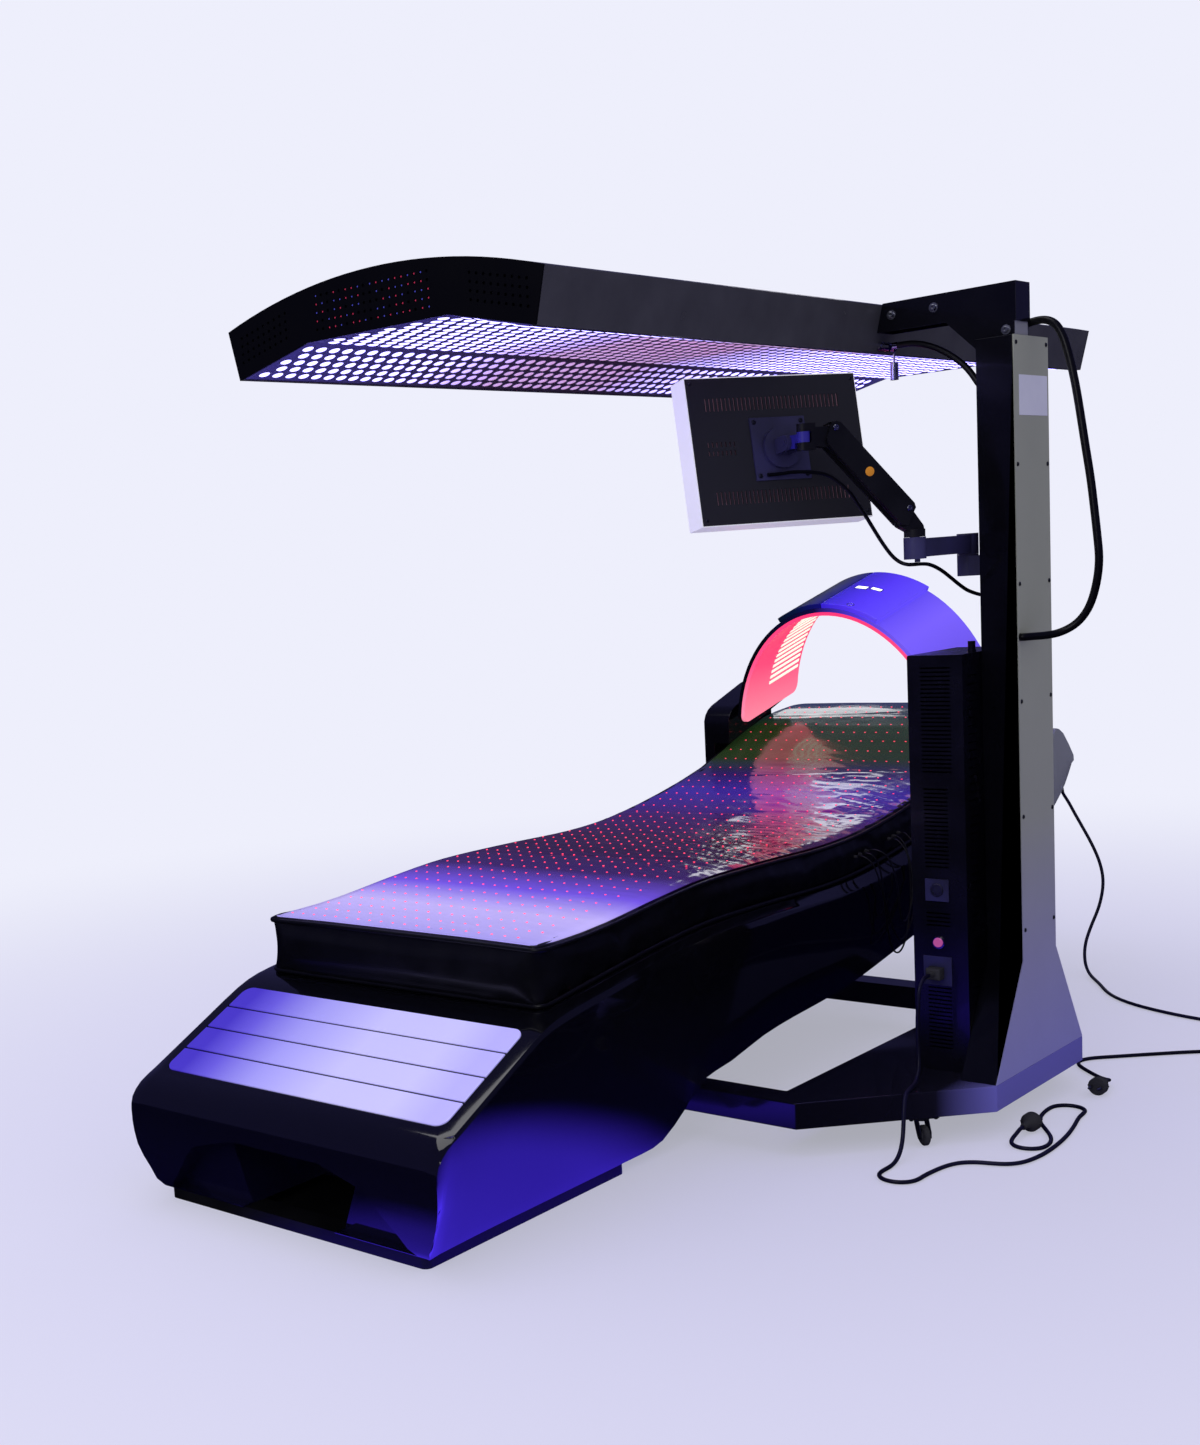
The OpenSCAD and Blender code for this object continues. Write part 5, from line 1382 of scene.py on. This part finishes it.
@dataclass
class LightMat:
    """Clear film welded over a carrier with rows of small red lights."""

    across: int = 84
    along: int = 264
    inset: float = 7 * MM
    film: float = 1.3 * MM
    sunk: float = 1.5 * MM
    corner: float = 26 * MM
    flat_half: float = 0.31
    droop: float = 2.7 * MM
    above: float = 1.4
    pitch_x: float = 30.5 * MM
    pitch_y: float = 52 * MM
    seams: tuple[float, ...] = (0.67, 1.262, 1.578, 1.95)
    puff: float = 2.2 * MM
    groove: float = 1.8 * MM
    hem: float = 1.2 * MM
    fold: float = 2.6 * MM
    crease: float = 0.9 * MM
    diode_mm: float = 2.3

    def height(self, x: float, y: float) -> float:
        """How far the film stands off the flat mat at a place."""
        edges = (0.0, *self.seams, 2.13)
        below = max(e for e in edges if e <= max(y, 0.0))
        above = min((e for e in edges if e > y), default=2.2)
        swell = self.puff * math.sin(math.pi * (y - below) / (above - below)) if above > below else 0.0
        cut = min(abs(y - s - 0.03 * math.sin(5 * x)) for s in self.seams)
        swell -= self.groove * math.exp(-((cut / 0.005) ** 2))
        rim = min(self.half - abs(x), y - self.low_y, self.high_y - y)
        swell -= self.hem * math.exp(-(((rim - 0.011) / 0.003) ** 2))
        swell *= min(1.0, max(0.0, rim / 0.02))
        # Folds gather on the stand's side, round the waist of the bed.
        side = 1 / (1 + math.exp(-(x - 0.10) / 0.05))
        waist = min(1.0, math.exp(-(((y - 0.85) / 0.42) ** 2)) + 0.7 * math.exp(-(((y - 1.45) / 0.25) ** 2)))
        slack = 0.10 + 0.95 * side * waist + 0.35 * waist
        lean = y + 0.35 * x + 0.03 * noise.noise(Vector((x * 7, y * 7, 3)))
        ridge = 1 - abs(noise.noise(Vector((x * 5, lean * 34, 0)))) * 2.2
        small = 1 - abs(noise.noise(Vector((x * 11 + 4, lean * 70, 9)))) * 2.2
        folds = max(0.0, ridge) ** 3 * self.fold + max(0.0, small) ** 3 * self.crease
        drift = noise.noise(Vector((x * 6, y * 4, 7))) * self.crease
        return swell + (folds * slack + drift) * min(1.0, max(0.0, rim / 0.016))

    def top(self, x: float, y: float) -> float:
        """Where the film lies: the flat mat carried on past its edge, and its height there."""
        qx = max(-self.flat_half, min(self.flat_half, x))
        qy = max(self.low_y + 0.02, min(self.high_y - 0.02, y))
        step = 0.02 if y < 1 else -0.02
        down = Vector((0, 0, -1))
        here, other = (self.flat.ray_cast(Vector((qx, at, self.above)), down)[0].z for at in (qy, qy + step))
        past = max(0.0, (abs(x) - self.flat_half) / 0.04)
        return here + (y - qy) * (other - here) / step - self.droop * past - self.sunk + self.height(x, y)

    def lay(self, co: Vector) -> Vector:
        """Lays a point of the unit grid on the mat, with rounded corners."""
        x = co.x * 2 * self.half
        y = self.low_y + (co.y + 0.5) * (self.high_y - self.low_y)
        inner_x, inner_low, inner_high = (
            self.half - self.corner, self.low_y + self.corner, self.high_y - self.corner
        )
        dx = max(0.0, abs(x) - inner_x)
        dy = max(0.0, inner_low - y, y - inner_high)
        if dx > 0 and dy > 0:
            shrink = max(dx, dy) / math.hypot(dx, dy)
            x = math.copysign(inner_x + dx * shrink, x)
            y = (inner_low - dy * shrink) if y < 1 else (inner_high + dy * shrink)
        return Vector((x, y, self.top(x, y)))

    def build(self) -> None:
        """Models and dresses the mat and its lights."""
        self.flat = surface_of(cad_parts["led_mat"])
        low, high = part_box("led_mat")
        self.half = high.x - self.inset
        self.low_y, self.high_y = low.y + self.inset, high.y - self.inset
        deselect()
        bpy.ops.mesh.primitive_grid_add(x_subdivisions=self.across, y_subdivisions=self.along, size=1.0)
        sheet = keep_as("light_mat_film")
        deform(sheet, self.lay)
        modify(sheet, "SOLIDIFY", thickness=self.film, offset=-1.0, use_rim=True)
        smooth(sheet, 80)
        place(sheet, LIGHT_FILM, "bed", "clear_film", "led_mat")
        self.diodes()

    def diodes(self) -> None:
        """Sets the small lights in staggered rows just under the film's skin."""
        r = self.diode_mm
        one = turned("diode", [(0, r), (0.5, r * 0.94), (0.95, r * 0.6)], sides=8)
        spots = []
        for j in range(int((self.high_y - self.low_y - 0.05) / self.pitch_y)):
            y = self.low_y + 0.035 + j * self.pitch_y
            for i in range(int((2 * self.half - 0.04) / self.pitch_x)):
                x = -self.half + 0.026 + (i + 0.5 * (j % 2)) * self.pitch_x
                spots.append(Matrix.Translation((x, y, self.top(x, y))))
        place(rows_of(one, "light_mat_diodes", spots), MAT_DIODE, "bed")
        log.info("%d diodes on the mat", len(spots))


# Dome


@dataclass
class FaceDome:
    """Arched face dome: lacquered shell, touch panel and lit inner skin."""

    half_width: float = 0.281
    height: float = 0.366
    at: tuple[float, float] = (1.877, 0.649)
    lean: float = 13.0
    outer: float = 0.031
    bar_pitch: float = 0.016
    bar_angles: tuple[int, int] = (24, 156)
    bar_along: float = 0.055
    steps_a_degree: int = 4
    # Angle round the oval, place along it, then width and height in millimetres.
    panes: tuple[tuple[float, ...], ...] = ((83.2, 0.004, 29, 18), (76.4, 0.010, 26, 14))
    rim_mm: float = 2.2
    sensor: tuple[float, float] = (76.8, -0.127)

    def point(self, off: float, angle: float, along: float) -> Matrix:
        """Place on the dome with its Z axis pointing out of the oval.

        Args:
            off: Distance from the inner face.
            angle: Angle round the oval in degrees, from the stand's side.
            along: Distance along the dome's own axis.
        """
        a = math.radians(angle)
        across, up = self.half_width + off, self.height + off
        spot = Vector((across * math.cos(a), along, up * math.sin(a)))
        out = Vector((up * math.cos(a), 0, across * math.sin(a))).normalized()
        side = Vector((0, 1, 0))
        turn = Matrix((side.cross(out), side, out)).transposed().to_4x4()
        frame_turn = Matrix.Translation((0, *self.at)) @ Matrix.Rotation(math.radians(self.lean), 4, "X")
        return frame_turn @ Matrix.Translation(spot) @ turn

    def build(self) -> None:
        """Models and dresses the dome."""
        dress("dome", (
            ("dome_shell", "dome_shell_lacquered", 2.4, 40, 3, DOME_LACQUER_PAINTED_LIGHT, "gloss_black_shell"),
            ("dome_top_cover", "dome_top_plate", 1.6, 40, 3, DOME_TOP_PAINTED_LIGHT, "gloss_black_shell"),
            ("dome_control_panel", "dome_touch_panel", 1.6, 40, 3, TOUCH_GLASS_PAINTED_LIGHT, "touch_panel"),
            ("dome_pivot_pins", "dome_pivot_axles", 0.8, 40, 2, STEEL, "steel"),
        ))
        paint("dome_diffuser", PINK_DIFFUSER)
        self.windows()
        self.bars()
        log.info("dome done")

    def plate(self, spot: Matrix, wide: float, tall: float, top: float, edge: float) -> Object:
        """A thin plate let into the touch panel.

        Args:
            spot: Its place.
            wide: Half its width in millimetres.
            tall: Half its height in millimetres.
            top: How far it stands out, in millimetres.
            edge: Rounding of its edges in millimetres.
        """
        low, high = (-wide * MM, -tall * MM, -0.6 * MM), (wide * MM, tall * MM, top * MM)
        made = block("plate", low, high, edge * MM)
        made.data.transform(spot)
        return made

    def windows(self) -> None:
        """Two lit windows with dark frames and a ring on the touch panel."""
        lit, dark = [], []
        for angle, along, wide, tall in self.panes:
            spot = self.point(self.outer, angle, along)
            lit.append(self.plate(spot, wide / 2, tall / 2, 0.5, 0.3))
            dark.append(self.plate(spot, wide / 2 + self.rim_mm, tall / 2 + self.rim_mm, 0.3, 0.25))
        place(joined("dome_windows", lit), WINDOW_LIGHT, "dome", "touch_panel")
        place(joined("dome_window_frames", dark), GLOSS_SHEET, "dome", "touch_panel")
        deselect()
        bpy.ops.mesh.primitive_torus_add(
            major_radius=8.5 * MM, minor_radius=0.9 * MM, major_segments=40, minor_segments=10
        )
        ring = keep_as("dome_sensor_ring")
        ring.data.transform(self.point(self.outer, *self.sensor))
        smooth(ring, 60)
        place(ring, CHROME, "dome", "touch_panel")

    def bars(self) -> None:
        """Light bars side by side round the inside of the dome."""
        one = block("bar", (-4.2 * MM, -78 * MM, -1.6 * MM), (4.2 * MM, 78 * MM, 0.4 * MM), 1.1 * MM)
        first, end = (angle * self.steps_a_degree for angle in self.bar_angles)
        spots, arc, last = [], 0.0, self.point(0, self.bar_angles[0], 0).translation
        for step in range(first, end):
            angle = step / self.steps_a_degree
            here = self.point(0, angle, 0).translation
            arc += (here - last).length
            last = here
            if arc >= self.bar_pitch:
                arc = 0.0
                spots.append(self.point(-0.2 * MM, angle, self.bar_along))
        place(rows_of(one, "dome_light_bars", spots, 40), DOME_DIODE, "dome", "pink_diffuser")
        log.info("%d light bars in the dome", len(spots))


# Stand


@dataclass
class StandFrame:
    """C-shaped base, casters and column."""

    face_x: float = 0.821
    column_y: tuple[float, float] = (0.9035, 1.0585)
    screw_top: float = 1.494
    screw_pitch: float = 0.222
    screw_rows: int = 6
    screw_inset: float = 0.010

    def build(self) -> None:
        """Models and dresses the stand."""
        dress("stand", (
            ("base_frame", "base_box", 2.5, 40, 2, BASE_ENAMEL_PAINTED_LIGHT, "gloss_black_sheet"),
            ("column_body", "column_trough", 1.6, 40, 2, BLACK_ENAMEL, "gloss_black_sheet"),
            ("column_cover", "column_cover_sheet", 0.6, 40, 2, COVER_POWDER_PAINTED_LIGHT, "grey_powder_coat"),
            ("caster_plates", "caster_mounts", 0.6, 40, 2, ZINC, "dark_zinc"),
            ("lift_actuator", "lift_drive", 1.2, 40, 2, STEEL, "steel"),
        ))
        for i in range(1, 5):
            fork = (f"caster_fork_{i}", f"caster_yoke_{i}", 0.5, 40, 2, ZINC, "dark_zinc")
            wheel = (f"caster_wheel_{i}", f"caster_tyre_{i}", 0.9, 50, 2, RUBBER, "wheel_rubber")
            dress(f"caster_swivel_{i}", (fork,))
            dress(f"caster_roller_{i}", (wheel,))
        self.screws()
        self.card()
        log.info("stand done")

    def screws(self) -> None:
        """Pan-head screws with cross recesses down both edges of the cover."""
        head = turned("head", [(0, 4.2), (0.9, 4.1), (1.7, 3.2), (2.1, 1.9)], sides=24)
        for turn in (0, math.pi / 2):
            slot = block("slot", (-2.3 * MM, -0.4 * MM, 1.0 * MM), (2.3 * MM, 0.4 * MM, 3 * MM))
            slot.data.transform(Matrix.Rotation(turn, 4, "Z"))
            modify(head, "BOOLEAN", object=slot, operation="DIFFERENCE", solver="EXACT")
            bpy.data.objects.remove(slot)
        low_y, high_y = self.column_y
        spots = []
        for i in range(self.screw_rows):
            for k, y in enumerate((low_y + self.screw_inset, high_y - self.screw_inset)):
                spin = Matrix.Rotation(0.4 * i + 0.7 * k, 4, "Z")
                spot = Matrix.Translation((self.face_x, y, self.screw_top - i * self.screw_pitch))
                spots.append(spot @ facing((1, 0, 0)) @ spin)
        place(rows_of(head, "cover_screw_heads", spots, 40), ZINC, "stand", "dark_screws", "cover_screws")

    def card(self) -> None:
        """A blank plate on the cover."""
        low, high = (self.face_x - 0.1 * MM, 0.924, 1.362), (self.face_x + 0.7 * MM, 1.051, 1.436)
        place(block("column_plate", low, high, 0.3 * MM), BLANK_CARD, "stand")


@dataclass
class Controller:
    """Louvred controller case on the base, with inlet and push button."""

    lip: tuple[Point, Point] = ((0.6375, 0.823, 0.9248), (0.7465, 1.036, 0.9262))
    data_socket: Point = (0.688, 0.819, 0.470)

    def build(self) -> None:
        """Models and dresses the controller."""
        dress("stand", (
            ("controller_case", "controller_housing", 0.0, 40, 2, CASE_ENAMEL, "gloss_black_sheet"),
            ("case_sockets", "controller_inlet", 0.5, 40, 2, SOCKET_PLASTIC, "matte_black"),
            ("button_bezel", "button_ring", 0.5, 40, 2, CHROME, "chrome_fittings"),
        ))
        dress("button", (("power_button", "button_cap_moulded", 1.0, 40, 3, BUTTON_LIGHT, "button_cap"),))
        lip = block("controller_top_lip", *self.lip, 0.5 * MM)
        place(lip, CASE_ENAMEL, "stand", "gloss_black_sheet")
        # A round data socket with its nut, on the small plate.
        profile = [(0, 13), (1.5, 13), (2.4, 12), (2.4, 9.5), (1.2, 9.2)]
        nut = turned("controller_data_socket", profile, self.data_socket, (0, -1, 0), 32)
        smooth(nut, 40)
        place(nut, ZINC, "stand", "matte_black")
        log.info("controller done")


# Canopy


@dataclass
class Canopy:
    """Overhead canopy with three facets of lenses, on its lift mast."""

    centre: float = 0.203
    ends: tuple[float, float] = (-0.160, 1.938)
    middle: float = 0.157
    side: float = 0.3145
    low: float = 1.515
    high: float = 1.555
    lens_mm: float = 12.8
    pitch: float = 0.033
    row: float = 0.0292
    first: float = 0.022
    spare: float = 0.030
    bolt_y: float = 0.916
    bolt_xz: tuple[tuple[float, float], ...] = ((0.576, 1.579), (0.662, 1.580), (0.802, 1.519))
    vent_pitch: float = 0.014
    vent_grid: tuple[int, int] = (19, 5)
    vent_start: tuple[float, float] = (-0.132, 1.573)
    dark_share: float = 0.12

    def build(self) -> None:
        """Models and dresses the canopy and what carries it."""
        dress("canopy", (
            ("canopy_housing", "canopy_hood", 0.5, 30, 2, HOOD_SHEET_PAINTED_SHEEN, "gloss_black_sheet"),
            ("canopy_end_caps", "canopy_end_plates", 0.0, 30, 2, CAP_SHEET, "gloss_black_sheet"),
            ("canopy_crossbeam", "canopy_beam", 2.0, 30, 2, GREY_POWDER, "black_powder_coat"),
            ("canopy_connectors", "canopy_plugs", 1.0, 30, 2, CHROME, "chrome_fittings"),
            ("head_arm", "head_bracket", 0.9, 30, 2, BLACK_ENAMEL, "black_powder_coat"),
            ("mast", "lift_mast", 2.0, 30, 2, GREY_POWDER, "grey_powder_coat"),
        ))
        paint("canopy_light_panels", LENS_BOARD_PAINTED_LIGHT)
        self.lenses()
        self.bolts()
        self.sparks()
        log.info("canopy done")

    def facets(self) -> list[tuple[Matrix, int]]:
        """Frames of the three facets, Z pointing down out of the board, with their rows."""
        drop = math.atan2(self.high - self.low, self.side - self.middle)
        out = []
        for sign, rows in ((-1, 5), (0, 10), (1, 5)):
            if sign:
                x = self.centre + sign * (self.middle + self.side) / 2
                z = (self.high + self.low) / 2
            else:
                x, z = self.centre, self.high
            tilt = Matrix.Rotation(math.pi + sign * drop, 4, "Y")
            out.append((Matrix.Translation((x, 0, z)) @ tilt, rows))
        return out

    def lenses(self) -> None:
        """Lenses in staggered rows, each in a thin collar."""
        r = self.lens_mm
        lens = turned("lens", [(0, 0.86 * r), (0.9, 0.84 * r), (2.4, 0.62 * r), (3.2, 0.26 * r)], sides=12)
        collar = turned("collar", [(0, r), (1.1, r), (1.5, 0.95 * r), (1.2, 0.84 * r)], sides=12)
        start, end = self.ends
        count = int((end - start - self.spare) / self.pitch)
        spots = []
        for facet, rows in self.facets():
            for j in range(rows):
                across = facet @ Matrix.Translation(((j - (rows - 1) / 2) * self.row, 0, 0))
                for i in range(count):
                    y = start + self.first + (i + 0.5 * (j % 2)) * self.pitch
                    spots.append(Matrix.Translation((0, y, 0)) @ across)
        for one, name, finish in (
            (lens, "canopy_lenses", CANOPY_LENS),
            (collar, "canopy_lens_collars", LENS_COLLAR),
        ):
            place(rows_of(one, name, spots), finish, "canopy", "lens_board")
        log.info("%d lenses in the canopy", len(spots))

    def bolts(self) -> None:
        """Socket-head bolts with washers on the head bracket."""
        profile = [(0, 9), (1.2, 9), (1.3, 5.8), (4.6, 5.8), (5.2, 5.2), (5.2, 2.6), (2.6, 2.5)]
        found = [turned("bolt", profile, (x, self.bolt_y, z), (0, -1, 0), 24) for x, z in self.bolt_xz]
        bolts = joined("bracket_bolts", found)
        smooth(bolts, 40)
        place(bolts, STEEL, "canopy", "steel", "arm_bolts")

    def sparks(self) -> None:
        """Small indicator lamps behind the vent holes of the foot-end plate."""
        one = turned("spark", [(0, 1.5), (0.8, 1.3)], direction=(0, -1, 0), sides=8)
        groups: dict[str, list[Object]] = {"red": [], "blue": []}
        columns, rows = self.vent_grid
        left, z0 = self.vent_start
        for i in range(columns):
            for j in range(rows):
                value = noise.noise(Vector((i * 1.7, j * 2.3, 0.5)))
                if abs(value) < self.dark_share:
                    continue
                x, z = self.centre + left + i * self.vent_pitch, z0 + j * self.vent_pitch
                move = Matrix.Translation((x, self.ends[0] + 2.2 * MM, z))
                groups["red" if value > 0 else "blue"].append(again(one, "spark", move))
        bpy.data.objects.remove(one)
        for kind, finish in (("red", SPARK_RED), ("blue", SPARK_BLUE)):
            place(joined(f"canopy_{kind}_indicators", groups[kind]), finish, "canopy")


# Panel arm


@dataclass
class PanelArm:
    """Two-part swivel arm with a gas spring link."""

    elbow: tuple[float, float] = (0.708, 0.722)
    turn: float = 233.13
    pitch: float = 47.76
    link: float = 0.2053
    upper_start: Point = (0.0175, 0.0, 1.2045)
    half: float = 0.019
    cap: tuple[float, float] = (0.103, -0.009)

    def frame_of(self) -> Matrix:
        """The gas arm's own frame: X along the arm, Z across its top."""
        base = Matrix.Translation((*self.elbow, 0)) @ Matrix.Rotation(math.radians(self.turn), 4, "Z")
        return base @ Matrix.Translation(self.upper_start) @ Matrix.Rotation(math.radians(-self.pitch), 4, "Y")

    def build(self) -> None:
        """Models and dresses the arm."""
        for body, node, name, width, finish, slot in (
            ("stand", "arm_wall_bracket", "arm_bracket", 2.0, ARM_PAINT, "arm_grey"),
            ("lower_arm_body", "lower_arm", "arm_lower_casting", 2.4, ARM_PAINT, "arm_grey"),
            ("elbow", "arm_elbow", "arm_elbow_casting", 1.6, ARM_BLACK, "matte_black"),
            ("gas_arm_body", "gas_arm", "gas_arm_cover", 3.0, ARM_BLACK, "matte_black"),
            ("gas_rod_body", "gas_arm_rod", "gas_arm_link", 0.8, ARM_BLACK, "matte_black"),
            ("knuckle", "arm_knuckle", "arm_knuckle_casting", 1.4, ARM_BLACK, "matte_black"),
            ("yoke", "tilt_yoke", "tilt_yoke_casting", 1.4, ARM_VIOLET, "arm_grey"),
        ):
            dress(body, ((node, name, width, 35, 2, finish, slot),))
        self.screws()
        log.info("arm done")

    def screws(self) -> None:
        """Pivot screws on both sides of the gas arm, and its round caps."""
        spot = self.frame_of()
        profile = [(-1, 5.4), (1.2, 5.4), (1.9, 4.7), (1.9, 2.6), (0.3, 2.4)]
        heads = []
        for x in (0.0, self.link):
            for side in (-1, 1):
                head = turned("head", profile, (x, side * self.half, 0), (0, side, 0), 24)
                head.data.transform(spot)
                heads.append(head)
        screws = joined("gas_arm_screws", heads)
        smooth(screws, 40)
        place(screws, STEEL, "gas_arm_body", "steel")
        x, z = self.cap
        for side, name in ((1, "gas_arm_cap_far"), (-1, "gas_arm_cap_near")):
            rim = [(-0.5, 8.5), (0.5, 8.5), (0.9, 7.9)]
            disc = turned(name, rim, (x, side * self.half, z), (0, side, 0), 32)
            disc.data.transform(spot)
            smooth(disc, 40)
            place(disc, AMBER_CAP, "gas_arm_body")


@dataclass
class LightPanel:
    """Flat light panel on its tilting head."""

    at: Point = (0.5481, 0.5713, 1.338)
    turn: float = -27.0
    tilt: float = 10.0
    back: float = -0.040
    front: float = -0.0865
    pitch: float = 23.5 * MM
    # Half spacing across and up, head radius in millimetres, and how far off the back.
    screw_sets: tuple[tuple[float, ...], ...] = ((0.050, 0.050, 4.4, 3 * MM), (0.172, 0.126, 3.0, 0.0))

    def frame_of(self) -> Matrix:
        """The panel's own frame: X out of its back, Z up its face."""
        turn = Matrix.Rotation(math.radians(self.turn), 4, "Z") @ Matrix.Rotation(math.radians(-self.tilt), 4, "Y")
        return Matrix.Translation(self.at) @ turn

    def build(self) -> None:
        """Models and dresses the panel."""
        dress("light_panel", (
            ("vesa_head", "tilt_head", 1.0, 35, 2, ARM_PAINT, "black_powder_coat"),
            ("panel_frame", "panel_sheet_frame", 0.5, 35, 2, SATIN_SHEET_PAINTED_GLOW, "satin_aluminium"),
            ("panel_back", "panel_back_cover", 0.0, 35, 2, GLOSS_SHEET, "gloss_black_sheet"),
            ("panel_lens", "panel_lens_board", 0.5, 35, 2, PANEL_BOARD, "lens_board"),
        ))
        self.lenses()
        self.screws()
        log.info("panel done")

    def lenses(self) -> None:
        """Grid of lenses on the panel's front."""
        spot = self.frame_of()
        profile = [(0, 8.6), (0.8, 8.3), (2.0, 6.2), (2.6, 2.6)]
        one = turned("lens", profile, (self.front + 0.5 * MM, 0, 0), (-1, 0, 0), 12)
        places = [(0, i * self.pitch, j * self.pitch) for i in range(-7, 8) for j in range(-5, 6)]
        grid = rows_of(one, "panel_lenses", [spot @ Matrix.Translation(at) for at in places])
        place(grid, PANEL_DIODE, "light_panel", "lens_board")

    def screws(self) -> None:
        """Four screws of the mounting plate and four near the back's corners."""
        spot = self.frame_of()
        heads = []
        for half_y, half_z, r, off in self.screw_sets:
            profile = [(-0.4, r), (1.1, r), (2.0, 0.7 * r), (2.2, 0.4 * r), (1.0, 0.3 * r)]
            for y in (-half_y, half_y):
                for z in (-half_z, half_z):
                    head = turned("head", profile, (self.back + off, y, z), (1, 0, 0), 20)
                    head.data.transform(spot)
                    heads.append(head)
        screws = joined("panel_screws", heads)
        smooth(screws, 40)
        place(screws, ZINC, "light_panel", "dark_screws")


# Main


def main() -> None:
    """Builds the studio and the object."""
    logging.basicConfig(level=logging.INFO, format="%(name)s: %(message)s")
    Studio().build()
    cables = Cables()
    cables.free_cords()
    cables.held()
    for assembly in (BedBody, Mattress, LightMat, FaceDome, StandFrame, Controller, Canopy, PanelArm, LightPanel):
        assembly().build()


if __name__ == "__main__":
    main()
